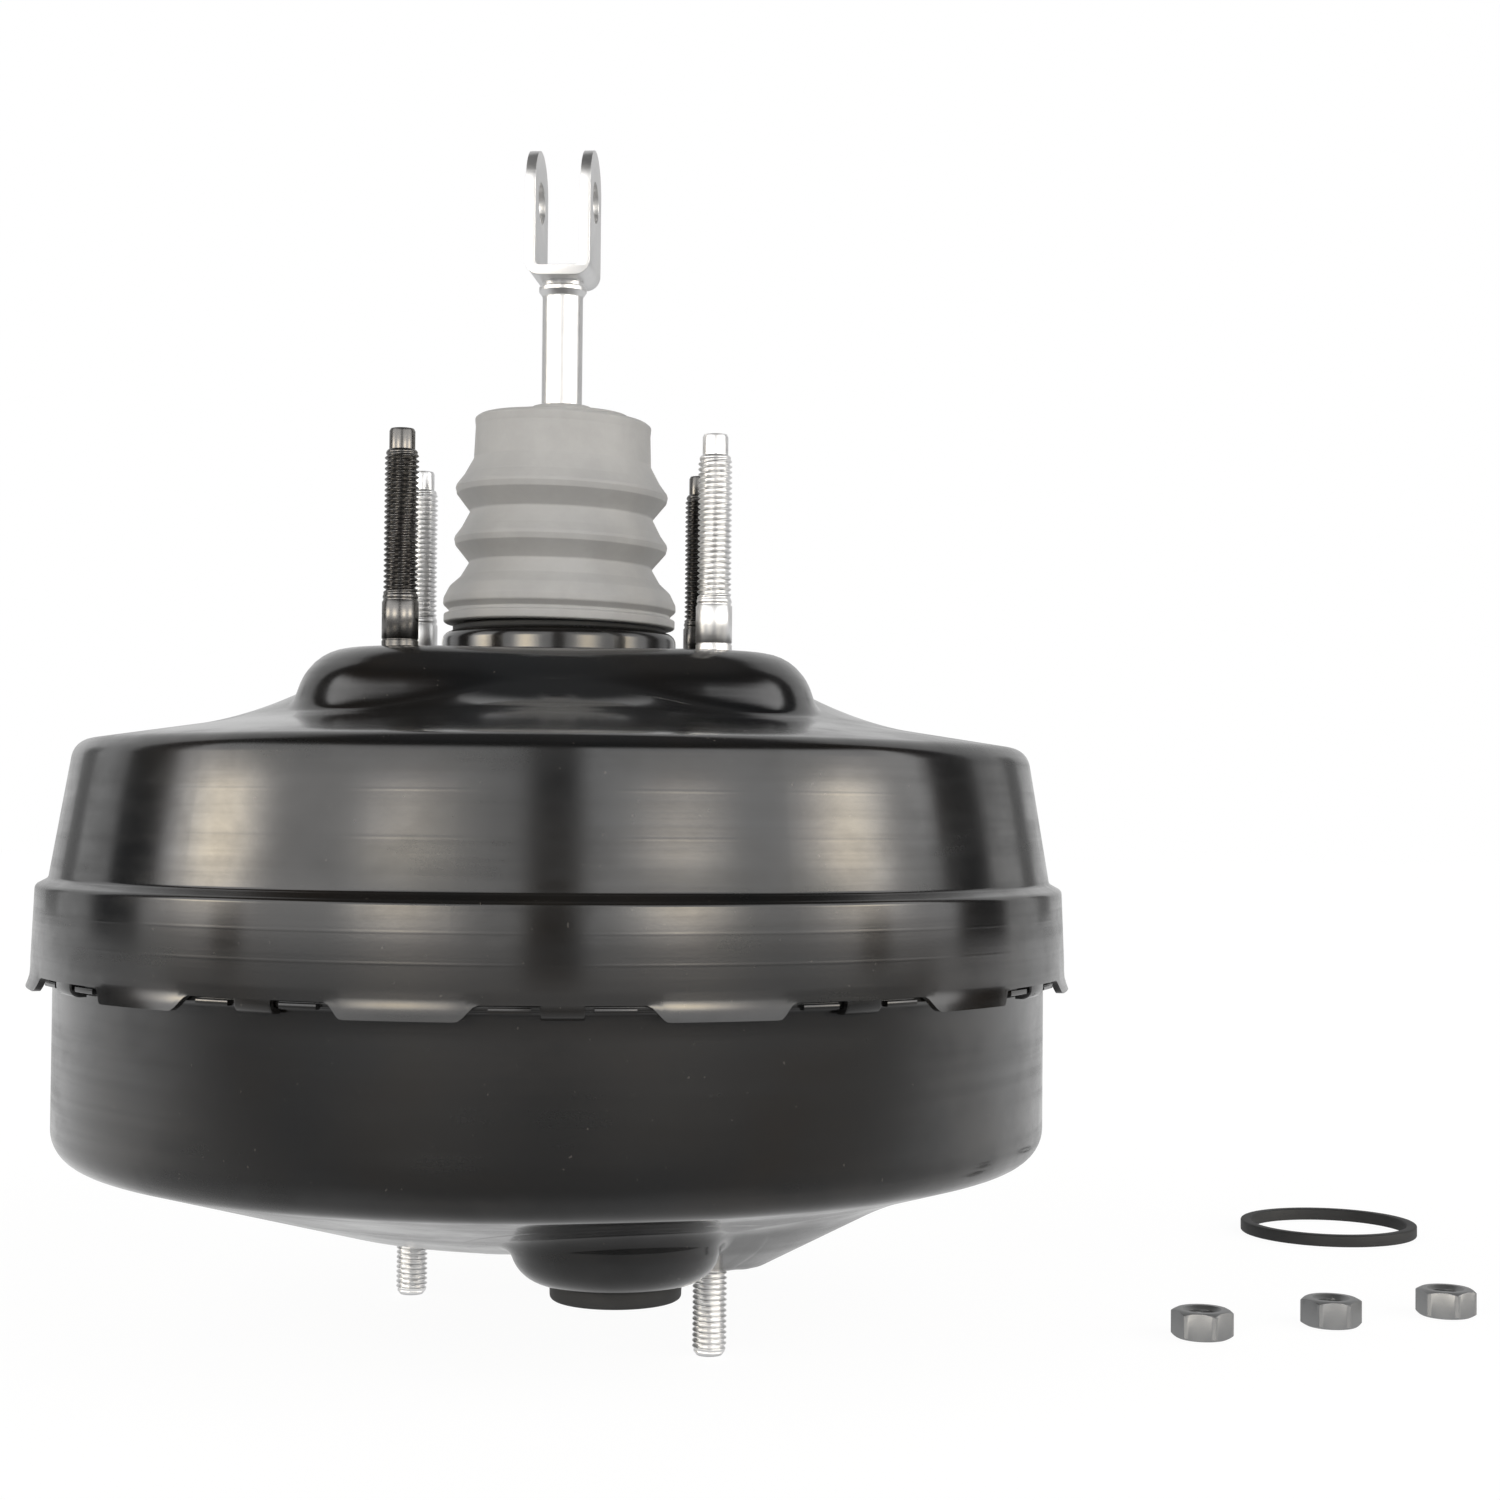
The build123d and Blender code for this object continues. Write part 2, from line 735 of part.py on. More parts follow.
def make_divider_plate():
    """Wall between the chambers: rim in the crimp, flat web, hub for the seal."""
    wall = divider_sheet
    out = skirt_r - sheet - 0.2
    top = rear_bead_z - rear_bead - touch_gap
    return turned([
        (out, top, 1.8), (out, divider_rim_foot_z), (out - wall, divider_rim_foot_z),
        (out - wall, top - wall, 0.6), (divider_web_r + 2, top - wall, 1.0), (divider_web_r, divider_web_z - wall),
        (divider_hub_r, divider_web_z - wall, 0.6), (divider_hub_r, divider_hub_foot_z),
        (divider_lip_r, divider_hub_foot_z), (divider_lip_r, divider_hub_foot_z + wall),
        (divider_hub_r - wall, divider_hub_foot_z + wall), (divider_hub_r - wall, divider_web_z, 1.5),
        (divider_web_r, divider_web_z, 1.0), (divider_web_r + 2, top, 1.0),
    ])


def make_divider_seal():
    """Lip seal on the valve body's barrel."""
    outer = divider_hub_r - divider_sheet
    foot = divider_hub_foot_z + divider_sheet
    bore = barrel_r + slide_fit
    return turned([
        (bore, foot), (outer, foot), (outer, divider_web_z - 0.5), (bore + 1.5, divider_web_z - 0.5),
        (bore + 1.0, foot + 2.4), (bore, foot + 1.6),
    ])


def make_front_diaphragm():
    """Bead over the front shell's rim, roll inside the wall, skin over the plate."""
    out = skirt_r - sheet - touch_gap
    foot = rim_z + touch_gap
    top = divider_rim_foot_z - touch_gap
    wall = front_wall_r - sheet - roll_gap
    skin = front_plate_top_z + touch_gap
    hub_r = front_dish_r + 5
    edge_r = plate_r + 1.5
    return turned([
        (wall - rubber, foot), (out, foot), (out, top), (wall, top), (wall, skin, 2.5), (edge_r, skin + thin_rubber, 1.0),
        (hub_r, skin + thin_rubber), (hub_r, skin), (edge_r - 0.5, skin, 1.0), (wall - rubber, skin - rubber, 1.0),
    ])


def make_reaction_disc():
    return pin(disc_r, disc_top_z - disc_depth, disc_top_z)


def make_output_pushrod():
    top = disc_top_z - disc_depth
    return turned([
        (0, top), (output_head_r, top), (output_head_r, top - output_head), (output_r + 3, top - output_head),
        (output_r, top - output_head - 4, 3.0), (output_r, output_foot_z), (adjuster_r, output_foot_z), (adjuster_r, output_foot_z + 14),
        (0, output_foot_z + 14),
    ])


def make_adjuster_screw():
    """Hex with a domed tip, screwed into the end of the output rod."""
    shank = pin(adjuster_r, output_foot_z - 0.5, output_foot_z + 13.5)
    hexagon = extrude(RegularPolygon(adjuster_hex / 2, 6, major_radius=False), -adjuster_hex_height)
    tip = turned([
        (0, output_foot_z - 3), (adjuster_r + 1, output_foot_z - 3),
        (adjuster_r + 1, adjuster_tip_z, 2.5), (0, adjuster_tip_z),
    ])
    return shank + Pos(0, 0, output_foot_z) * hexagon + tip


def make_output_rod_retainer():
    """Pressed cap over the nose that keeps the output rod's head in."""
    outer = nose_r + cap_sheet
    foot = nose_foot_z - cap_sheet
    return turned([
        (nose_r, nose_foot_z), (nose_r, nose_foot_z + cap_foot), (outer, nose_foot_z + cap_foot),
        (outer, foot, 0.6), (output_r + 5, foot), (output_r + 5, nose_foot_z),
    ])


def make_piston_return_spring():
    top = barrel_foot_z - plate_sheet - plate_ring
    foot = front_flat_z + sheet
    return coil(main_foot_r, main_top_r, main_wire_r, foot, top, main_turns)


def make_dust_boot():
    """Bellows: sleeve, folds, bulge and base ring, closed on the rod by a thin top."""
    wall = boot_wall
    outer = [(boot_top_r, boot_top_z, 1.0), (boot_sleeve_r, boot_sleeve_foot_z, 1.5)]
    for i in range(boot_folds):
        outer.append((boot_crest_r, boot_crest_z - i * boot_pitch, 1.2))
        outer.append((boot_valley_r, boot_valley_z - i * boot_pitch, 1.0))
    outer.append((boot_bulge_r, boot_bulge_z, 2.0))
    outer.append((boot_bulge_r - 1.6, boot_ring_z + 1.2))
    base = [
        (boot_ring_r, boot_ring_z + 1.0), (boot_ring_r, seal_lip_top_z), (boot_ring_r - 5, seal_lip_top_z),
        (boot_ring_r - 5, boot_ring_z + 1.0),
    ]
    inner = [(r - wall, z) for r, z, *rest in outer[:-1]]
    inner[0] = (boot_top_r - wall, boot_top_z - wall)
    lip = [
        (rod_r + run_gap, boot_lip_z - wall), (rod_r + run_gap, boot_lip_z), (boot_lip_r, boot_lip_z, 0.8),
        (boot_lip_r + 0.6, boot_top_z + 0.8, 1.0),
    ]
    return turned(outer + base + inner[::-1] + lip)


def make_nut():
    """Hexagon nut with chamfered corners, on the floor of the kit."""
    body = extrude(RegularPolygon(nut_flats / 2, 6, major_radius=False), nut_height)
    corner = nut_flats / math.sqrt(3)
    skin = turned([
        (0, 0), (corner - nut_chamfer, 0), (corner, nut_chamfer * 0.6), (corner, nut_height - nut_chamfer * 0.6),
        (corner - nut_chamfer, nut_height), (0, nut_height),
    ])
    hole = turned([
        (0, -1), (nut_bore_r + 1.6, -1), (nut_bore_r, 0.6), (nut_bore_r, nut_height - 0.6),
        (nut_bore_r + 1.6, nut_height + 1), (0, nut_height + 1),
    ])
    return (body & skin) - hole


def make_mounting_nuts():
    nut = make_nut()
    return Compound([Pos(x, y, master_tip_z) * Rot(0, 0, turn) * nut for x, y, turn in nut_places])


def make_master_cylinder_seal():
    seal = turned([
        (kit_seal_r - kit_seal_wall, 0, 0.5), (kit_seal_r, 0, 0.5), (kit_seal_r, kit_seal_height, 0.5),
        (kit_seal_r - kit_seal_wall, kit_seal_height, 0.5),
    ])
    return Pos(kit_seal_place[0], kit_seal_place[1], master_tip_z) * seal


nodes = {
    "rear_shell": make_rear_shell,
    "front_shell": make_front_shell,
    "firewall_studs_dark": lambda: make_rear_studs("dark"),
    "firewall_studs_bright": lambda: make_rear_studs("bright"),
    "master_cylinder_studs": make_master_studs,
    "rear_stud_plate": make_rear_stud_plate,
    "front_stud_plate": make_front_stud_plate,
    "vacuum_grommet": make_vacuum_grommet,
    "neck_seal": make_neck_seal,
    "neck_guide_ring": make_neck_guide_ring,
    "seal_retainer": make_seal_retainer,
    "rear_diaphragm": make_rear_diaphragm,
    "front_diaphragm": make_front_diaphragm,
    "divider_plate": make_divider_plate,
    "divider_seal": make_divider_seal,
    "valve_body": make_valve_body,
    "rear_diaphragm_plate": make_rear_diaphragm_plate,
    "front_diaphragm_plate": make_front_diaphragm_plate,
    "plate_retainer": make_plate_retainer,
    "reaction_disc": make_reaction_disc,
    "output_pushrod": make_output_pushrod,
    "adjuster_screw": make_adjuster_screw,
    "output_rod_retainer": make_output_rod_retainer,
    "valve_key": make_valve_key,
    "poppet_valve": make_poppet_valve,
    "poppet_retainer": make_poppet_retainer,
    "poppet_spring": make_poppet_spring,
    "pushrod_return_spring": make_pushrod_return_spring,
    "air_filter": make_air_filter,
    "filter_retainer": make_filter_retainer,
    "valve_plunger": make_valve_plunger,
    "pushrod": make_pushrod,
    "clevis": make_clevis,
    "piston_return_spring": make_piston_return_spring,
    "dust_boot": make_dust_boot,
    "mounting_nuts": make_mounting_nuts,
    "master_cylinder_seal": make_master_cylinder_seal,
}

os.makedirs("parts", exist_ok=True)
for name, make in nodes.items():
    export_step(make(), f"parts/{name}.step")
    print(name)
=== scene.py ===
# %% [markdown]
# A vacuum brake booster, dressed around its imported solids. The shells, boot, studs, nuts and
# crimped tabs are worked out again as fine smooth surfaces, because gloss paint shows every
# facet, and the hidden pieces keep their solids and only get a finish.

# %% Load the frame
import json
import math
import bmesh
import bpy
import numpy as np
from mathutils import Matrix, Vector


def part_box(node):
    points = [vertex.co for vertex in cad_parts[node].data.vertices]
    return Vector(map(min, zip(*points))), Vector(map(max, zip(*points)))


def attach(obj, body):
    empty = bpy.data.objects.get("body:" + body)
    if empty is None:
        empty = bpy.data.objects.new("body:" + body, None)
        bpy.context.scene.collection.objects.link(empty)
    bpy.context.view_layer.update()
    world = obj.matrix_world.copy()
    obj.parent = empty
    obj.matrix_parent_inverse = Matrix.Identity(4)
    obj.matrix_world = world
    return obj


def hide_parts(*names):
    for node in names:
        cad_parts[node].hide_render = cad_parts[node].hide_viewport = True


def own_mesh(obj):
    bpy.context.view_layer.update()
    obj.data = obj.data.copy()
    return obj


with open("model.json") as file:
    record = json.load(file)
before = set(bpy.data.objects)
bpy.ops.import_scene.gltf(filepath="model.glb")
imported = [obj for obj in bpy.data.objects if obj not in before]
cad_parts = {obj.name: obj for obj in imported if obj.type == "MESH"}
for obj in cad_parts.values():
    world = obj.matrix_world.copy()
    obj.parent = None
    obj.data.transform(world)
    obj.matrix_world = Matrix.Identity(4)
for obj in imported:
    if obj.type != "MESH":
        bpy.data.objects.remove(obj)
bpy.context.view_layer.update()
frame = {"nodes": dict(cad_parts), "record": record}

mm = 0.001
scene = bpy.context.scene
scene.view_settings.view_transform = "Standard"
print("frame nodes", len(frame["nodes"]))

# %% [markdown]
# A finished piece rides on a body, takes a material and may stand for solids of the frame.
# Smooth shading is right for all of them, as long as true edges stay sharp.


# %% Dressing a piece
def dress(piece, material, body, sharp=32.0, stands_for=()):
    """Smooth shading, material, body and the nodes that the piece stands for."""
    if piece.name not in scene.collection.objects:
        scene.collection.objects.link(piece)
    piece.data.polygons.foreach_set("use_smooth", np.ones(len(piece.data.polygons), bool))
    piece.data.set_sharp_from_angle(angle=math.radians(sharp))
    piece.data.materials.clear()
    piece.data.materials.append(material)
    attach(piece, body)
    if stands_for:
        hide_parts(*stands_for)
    return piece


# %% [markdown]
# Most pieces here are surfaces of two parameters. A grid of points becomes a mesh of quads, and
# the signed volume tells whether its faces point outwards, so each piece can be drawn in
# whichever direction is easier and is turned the right way afterwards.


# %% Grid meshes
def outward(points, faces):
    """True if the signed volume, the sum of each face's corner products, is positive."""
    corners = points[faces]
    first = np.einsum("ij,ij->i", corners[:, 0], np.cross(corners[:, 1], corners[:, 2]))
    second = np.einsum("ij,ij->i", corners[:, 0], np.cross(corners[:, 2], corners[:, 3]))
    return first.sum() + second.sum() > 0


def grid_piece(name, grid, material, body, closed_rows=False, caps=False, sharp=32.0,
               stands_for=(), slot=None):
    """Mesh from a grid of points in millimetres, (rows, columns, 3), riding on a body.
    Rows run along the profile and columns run round it, and caps closes both ends with a fan."""
    rows, columns = grid.shape[:2]
    index = np.arange(rows * columns).reshape(rows, columns)
    index = np.hstack([index, index[:, :1]])
    if closed_rows:
        index = np.vstack([index, index[:1]])
    faces = np.stack([index[:-1, :-1], index[:-1, 1:], index[1:, 1:], index[1:, :-1]], -1).reshape(-1, 4)
    points = grid.reshape(-1, 3) * mm
    if caps:
        centre = np.full(columns, len(points))
        ends = np.stack([grid[0].mean(0), grid[-1].mean(0)]) * mm
        points = np.vstack([points, ends])
        first = np.stack([centre, index[0, 1:], index[0, :-1], centre], -1)
        last = np.stack([centre + 1, index[-1, :-1], index[-1, 1:], centre + 1], -1)
        faces = np.vstack([faces, first, last])
    if not outward(points, faces):
        faces = faces[:, ::-1]
    # A fan's face names its centre twice, and the second one is dropped
    polygons = [list(dict.fromkeys(f)) for f in faces.tolist()]
    mesh = bpy.data.meshes.new(name)
    mesh.from_pydata(points.tolist(), [], polygons)
    return dress(bpy.data.objects.new(name, mesh), material, body, sharp, stands_for)


square = np.array([(0, 0, 0), (1, 0, 0), (1, 1, 0), (0, 1, 0)], float)
box_points = np.vstack([square, square + (0, 0, 1)])
box_faces = np.array([(3, 2, 1, 0), (4, 5, 6, 7), (0, 1, 5, 4), (1, 2, 6, 5), (2, 3, 7, 6), (3, 0, 4, 7)])
print("a box with its faces outwards gives", bool(outward(box_points, box_faces)))

# %% [markdown]
# A turned part is drawn as its half section, in corners and radii as on a workshop drawing. A
# spline would be quicker to draw, but it never gives a true round, so each corner gets its
# tangent arc. Long straight runs are divided where a bend or a lean has to follow.


# %% Paths of arcs and lines
def rounded(points, steps=6):
    """Path through (r, z, corner radius) points with each corner as a tangent arc.
    The arc starts at radius / tan(half the corner's angle) before the corner."""
    path = []
    count = len(points)
    for i, (r, z, radius) in enumerate(points):
        here = np.array([r, z], float)
        if radius == 0 or i in (0, count - 1):
            path.append(here)
            continue
        back = np.array(points[i - 1][:2], float) - here
        ahead = np.array(points[i + 1][:2], float) - here
        back /= np.linalg.norm(back)
        ahead /= np.linalg.norm(ahead)
        half = math.acos(np.clip(back @ ahead, -1, 1)) / 2
        bisector = (back + ahead) / np.linalg.norm(back + ahead)
        centre = here + bisector * radius / math.sin(half)
        start = here + back * radius / math.tan(half) - centre
        end = here + ahead * radius / math.tan(half) - centre
        turn = math.atan2(start[0] * end[1] - start[1] * end[0], start @ end)
        for k in range(steps + 1):
            a = turn * k / steps
            spin = np.array([[math.cos(a), -math.sin(a)], [math.sin(a), math.cos(a)]])
            path.append(centre + spin @ start)
    return np.array(path)


def refine(path, step):
    """Adds points to a path's straight runs so that none is longer than step."""
    made = [path[0]]
    for a, b in zip(path[:-1], path[1:]):
        pieces = max(1, int(np.linalg.norm(b - a) / step))
        made.extend(a + (b - a) * k / pieces for k in range(1, pieces + 1))
    return np.array(made)


corner = rounded([(0, 0, 0), (10, 0, 3), (10, 10, 0)])
print("one corner gives", len(corner), "points, and with short runs", len(refine(corner, 1.0)))

# %% [markdown]
# Turning a half section about an axis is a lathe's work. A Screw modifier could do it, but the
# grid stays open to later changes, such as the boot's lean or the thread's helix.


# %% Turned pieces
def even_turns(columns):
    return np.arange(columns) * 2 * math.pi / columns


def around(r, turn, z, centre=(0.0, 0.0)):
    """Points about an upright axis: x = r cos turn, y = r sin turn."""
    x, y = centre[0] + r * np.cos(turn), centre[1] + r * np.sin(turn)
    return np.stack(np.broadcast_arrays(x, y, z), -1)


def spun(path, columns, centre=(0.0, 0.0)):
    """Grid of a profile turned about Z."""
    return around(path[:, 0, None], even_turns(columns), path[:, 1, None], centre)


def spun_piece(name, points, material, body, columns=96, steps=6, centre=(0.0, 0.0), **more):
    """Closed turned piece from the corners of its half section."""
    loop = rounded(list(points) + [points[0]], steps)[:-1]
    return grid_piece(name, spun(loop, columns, centre), material, body, closed_rows=True, **more)


print("a washer is a grid of", spun(np.array([(5, 0), (9, 0), (9, 1), (5, 1)]), 96).shape)

# %% [markdown]
# Shader maths reads best as Python. This class wraps a socket, so that an expression on values
# adds its own Math nodes, and one method makes every other node.


# %% Shader maths
class Value:
    """A number that varies over the surface, as a socket in one material's tree."""

    def __init__(self, tree, socket):
        self.tree = tree
        self.socket = socket

    def math(self, operation, other=0.0):
        return add_node(self.tree, "ShaderNodeMath", {"operation": operation}, {0: self, 1: other})

    def __add__(self, other):
        return self.math("ADD", other)

    def __mul__(self, other):
        return self.math("MULTIPLY", other)

    def __sub__(self, other):
        return self.math("SUBTRACT", other)

    def __rsub__(self, other):
        return (self * -1.0) + other

    __radd__ = __add__
    __rmul__ = __mul__

    def step(self, low, high):
        """Smooth rise from 0 at low to 1 at high."""
        return add_node(self.tree, "ShaderNodeMapRange", {"interpolation_type": "SMOOTHSTEP"},
                        {0: self, 1: low, 2: high, 3: 0.0, 4: 1.0})


def add_node(tree, kind, settings, inputs, output=0):
    """One node: its settings first, then the values or links of its sockets."""
    node = tree.nodes.new(kind)
    for key, value in settings.items():
        setattr(node, key, value)
    for key, value in inputs.items():
        if isinstance(value, Value):
            tree.links.new(value.socket, node.inputs[key])
        else:
            node.inputs[key].default_value = value
    return Value(tree, node.outputs[output])


class Finish:
    """A material under construction, with its Principled shader and object coordinates."""

    def __init__(self, name, **constants):
        self.material = bpy.data.materials.new(name)
        self.material.use_nodes = True
        self.tree = self.material.node_tree
        self.shader = self.tree.nodes["Principled BSDF"]
        for key, value in constants.items():
            self.shader.inputs[key.replace("_", " ")].default_value = value
        self.place = add_node(self.tree, "ShaderNodeTexCoord", {}, {}, output="Object")

    def scaled(self, x, y, z):
        """Object coordinates stretched by a factor on each axis."""
        return add_node(self.tree, "ShaderNodeMapping", {}, {"Vector": self.place, "Scale": (x, y, z)})

    def noise(self, scale, detail=3.0, rough=0.5, at=None):
        """Noise value from 0 to 1, scale in features per metre."""
        return add_node(self.tree, "ShaderNodeTexNoise", {},
                        {"Vector": at or self.place, "Scale": scale, "Detail": detail, "Roughness": rough})

    def mix(self, factor, first, second):
        """Colour from first to second as factor goes from 0 to 1."""
        return add_node(self.tree, "ShaderNodeMix", {"data_type": "RGBA"},
                        {"Factor": factor, 6: first, 7: second}, output=2)

    def feed(self, socket, value):
        self.tree.links.new(value.socket, self.shader.inputs[socket])

    def bump(self, height, distance, strength=1.0):
        normal = add_node(self.tree, "ShaderNodeBump", {},
                          {"Height": height, "Distance": distance, "Strength": strength})
        self.feed("Normal", normal)


def grey(level, warm=0.0):
    """Colour of a near-neutral finish, a little warmer or cooler."""
    return (level * (1 + warm), level, level * (1 - warm), 1.0)


print("a warm mid grey is", grey(0.5, 0.1))

# %% [markdown]
# The shells are deep-drawn steel with a black dip coat. The coat is dark and glossy, but
# handling and drawing leave faint level streaks, smears and small specks, which show in how
# sharp the reflections are. So roughness carries most of the detail, and colour only a little.


# %% Black enamel
ring_heights = (-0.0323, -0.0419, -0.0606, -0.0668)
ring_half = 0.0005
warm_film, cool_film = (0.0085, 0.0066, 0.0048, 1.0), (0.0046, 0.0052, 0.0060, 1.0)


def black_enamel():
    """Roughness is 0.14 plus 0.12 times a film of clouds and level streaks plus a fine grain. The
    film also thins the clear coat, and faint rings run round at the drawing marks' heights."""
    made = Finish("black_enamel", IOR=1.5, Coat_Roughness=0.11)
    streaks = made.noise(1.0, 3.0, 0.6, made.scaled(7.0, 7.0, 300.0)).step(0.40, 0.66)
    clouds = made.noise(24.0, 5.0, 0.6, made.scaled(1.0, 1.0, 1.5)).step(0.38, 0.66)
    tint = made.noise(17.0, 3.0, 0.5, made.scaled(1.0, 1.3, 1.0)).step(0.36, 0.64)
    grain = made.noise(1300.0, 3.0, 0.6)
    specks = made.noise(900.0, 1.0, 0.5).step(0.76, 0.80)
    height = add_node(made.tree, "ShaderNodeSeparateXYZ", {}, {0: made.place}, output=2)
    rings = [(height - z).math("ABSOLUTE").step(ring_half, 0.0) for z in ring_heights]
    rings = sum(rings[1:], rings[0])
    film = clouds * 0.7 + streaks * 0.3
    made.feed("Roughness", film * 0.12 + grain * 0.05 + 0.14)
    tone = made.mix(tint, cool_film, warm_film)
    tone = made.mix(film, tone, grey(0.0032))
    made.feed("Base Color", made.mix(specks * 0.6, tone, grey(0.06, 0.1)))
    made.feed("Coat Weight", 0.85 - film * 0.5)
    made.bump(grain * 0.7 + streaks * 0.3 + rings * 0.7, 0.00003, 0.5)
    return made.material


enamel = black_enamel()
print(enamel.name, "has", len(enamel.node_tree.nodes), "nodes")

# %% [markdown]
# Zinc plate on a turned or bent part is bright but not a mirror: fine marks run round it and
# the passivated layer clouds it. Dull zinc on the nuts is greyer, and the black studs are
# phosphated and oiled.


# %% Metals
plate_grain = 900.0


def plated(name, level, rough, spread, warm=0.0):
    """Plated or plain steel: level is its brightness, rough its mean roughness, and its colour
    goes from level (1 - spread) to level (1 + spread) in soft clouds."""
    made = Finish(name, Metallic=1.0)
    cloud = made.noise(160.0, 4.0, 0.6)
    marks = made.noise(1.0, 2.0, 0.5, made.scaled(90.0, 90.0, plate_grain * 2))
    dark, pale = grey(level * (1 - spread), warm), grey(level * (1 + spread), warm)
    made.feed("Base Color", made.mix(cloud, dark, pale))
    made.feed("Roughness", cloud * 0.16 + marks * 0.08 + (rough - 0.12))
    made.bump(marks + made.noise(plate_grain, 2.0, 0.5) * 0.6, 0.00002, 0.4)
    return made.material


zinc = plated("bright_zinc", 0.80, 0.36, 0.10)
dull_zinc = plated("dull_zinc", 0.31, 0.46, 0.12, -0.01)
thread_zinc = plated("thread_zinc", 0.90, 0.36, 0.08)
black_steel = plated("black_steel", 0.17, 0.26, 0.25, 0.03)
plain_steel = plated("plain_steel", 0.55, 0.38, 0.08)
spring_steel = plated("spring_steel", 0.30, 0.36, 0.12)
metals = (zinc, dull_zinc, thread_zinc, black_steel, plain_steel, spring_steel)
print("metals", [metal.name for metal in metals])

# %% [markdown]
# Rubber is matt, with a dusty bloom. The boot is a mid grey moulding, the grommet and the ring
# are black. Plastic and felt inside the booster are plain, because they hardly ever show.


# %% Rubber, plastic and felt
def rubber(name, level, rough, bloom, warm=-0.02):
    """Moulded rubber: level is its brightness, bloom how much paler its dusty patches are."""
    made = Finish(name, Specular_IOR_Level=0.35)
    dust = made.noise(70.0, 5.0, 0.65)
    fine = made.noise(1500.0, 2.0, 0.5)
    dusty = grey(level * (1 + bloom), warm)
    made.feed("Base Color", made.mix(dust.step(0.3, 0.75), grey(level, warm), dusty))
    made.feed("Roughness", dust * 0.14 + fine * 0.06 + (rough - 0.08))
    made.bump(fine + dust * 2.0, 0.00004, 0.35)
    return made.material


boot_rubber = rubber("boot_rubber", 0.335, 0.52, 0.14, 0.0)
black_rubber = rubber("black_rubber", 0.022, 0.55, 0.35)
resin = rubber("moulded_resin", 0.06, 0.45, 0.3, 0.35)
plastic = rubber("white_plastic", 0.62, 0.45, 0.05, 0.02)
felt = rubber("filter_felt", 0.11, 0.9, 0.4)
print("soft finishes", [soft.name for soft in (boot_rubber, black_rubber, resin, plastic, felt)])

# %% [markdown]
# The hidden pieces keep their solids. Each takes the finish of its slot in the record.

# %% Finishes of the solids
slot_finish = {
    "black_enamel": enamel, "black_oxide": black_steel, "zinc_plate": zinc, "nut_zinc": dull_zinc,
    "bare_steel": plain_steel, "spring_steel": spring_steel, "black_rubber": black_rubber,
    "grey_rubber": boot_rubber, "white_plastic": plastic, "brown_phenolic": resin, "filter_felt": felt,
}
node_slot = {s["node"]: s["material_slot"] for s in frame["record"]["subparts"]}
for node, solid in frame["nodes"].items():
    solid.data.materials.clear()
    solid.data.materials.append(slot_finish[node_slot[node]])
print(len(slot_finish), "finishes on", len(frame["nodes"]), "solids")

# %% [markdown]
# The rear shell is one deep-drawn sheet: collar, square hub, cone, wall, stepped flange and
# skirt. It could be modelled by hand with subdivision, but gloss paint shows every wobble of a
# hand-made blend. So it is one grid of rings. Each ring of the hub follows the rounded square,
# and its height is the higher of two forms, the hub and the cone, with the crease rounded off.
# The columns crowd together at the flanks of the crimp's lugs, so that the lower edge is crisp,
# and the inner side is the outer one moved in by the sheet's thickness.

# %% Sizes of the rear shell
sheet = 1.6
hub_half, hub_corner, hub_edge, hub_face, hub_steepest = 60.4, 27.0, 14.0, 0.9, math.radians(70.0)
hub_blend_width = 2.6
cone_slope, cone_start, cone_end_r = -0.155, -3.1, 106.0
cone_lift, cone_lift_start = 5.5, 60.0
cone_lift_front_end, cone_lift_side_end = 73.5, 90.0
wall_top, wall_foot, step_z = 115.3, 120.7, -53.0
flange_z, skirt_top_r, skirt_r = -54.6, 123.7, 124.4
gap_z, lug_z, lug_flare = -74.7, -78.0, 1.0
crimps, crimp_turn = 12, -90.0 + 1.3
gap_half, lug_half = 16.7, 21.0
collar_r, collar_top, collar_roll, collar_mouth = 28.8, 7.5, 2.5, 24.6
collar_foot, mouth_step, hem_rise = 4.0, 0.4, 3.0
print("hub", 2 * hub_half, "mm wide, skirt", 2 * skirt_r, "mm across")


# %% Heights and outlines of the rear shell
def soft_low(a, b, k):
    """Lower of two heights, with the crease rounded over the width k."""
    share = np.clip(0.5 + (b - a) / (2 * k), 0, 1)
    return b + (a - b) * share - k * share * (1 - share)


def rounded_square(turn, half, corner):
    """Radius of a square with round corners: a side's half / cos, or the corner circle's far point."""
    c = np.maximum(np.abs(np.cos(turn)), np.abs(np.sin(turn)))
    s = np.minimum(np.abs(np.cos(turn)), np.abs(np.sin(turn)))
    k = half - corner
    on_corner = k * (c + s) + np.sqrt(np.maximum((k * (c + s)) ** 2 - 2 * k * k + corner ** 2, 0))
    return np.where(half * s / c <= k, half / c, on_corner)


def cone_height(r, turn=0.0):
    """Sloping line, lifted near the hub by a parabola that runs out sooner in front than at the sides."""
    end = cone_lift_front_end + (cone_lift_side_end - cone_lift_front_end) * np.cos(turn) ** 2
    share = np.clip((end - r) / (end - cone_lift_start), 0, 1)
    return cone_start + cone_slope * r + cone_lift * share ** 2


def hub_height(out):
    """Height of the hub alone at a distance out from its outline: flat, arc, then the steepest line."""
    far = hub_edge * (math.sin(hub_steepest) - 1)
    into_arc = np.clip(out, -hub_edge, far) + hub_edge
    arc = np.sqrt(hub_edge ** 2 - into_arc ** 2) - hub_edge
    return hub_face + arc - np.maximum(out - far, 0) * math.tan(hub_steepest)


cone_ends = [round(float(cone_height(r)), 2) for r in (hub_half, cone_end_r)]
print("cone falls from and to", cone_ends)


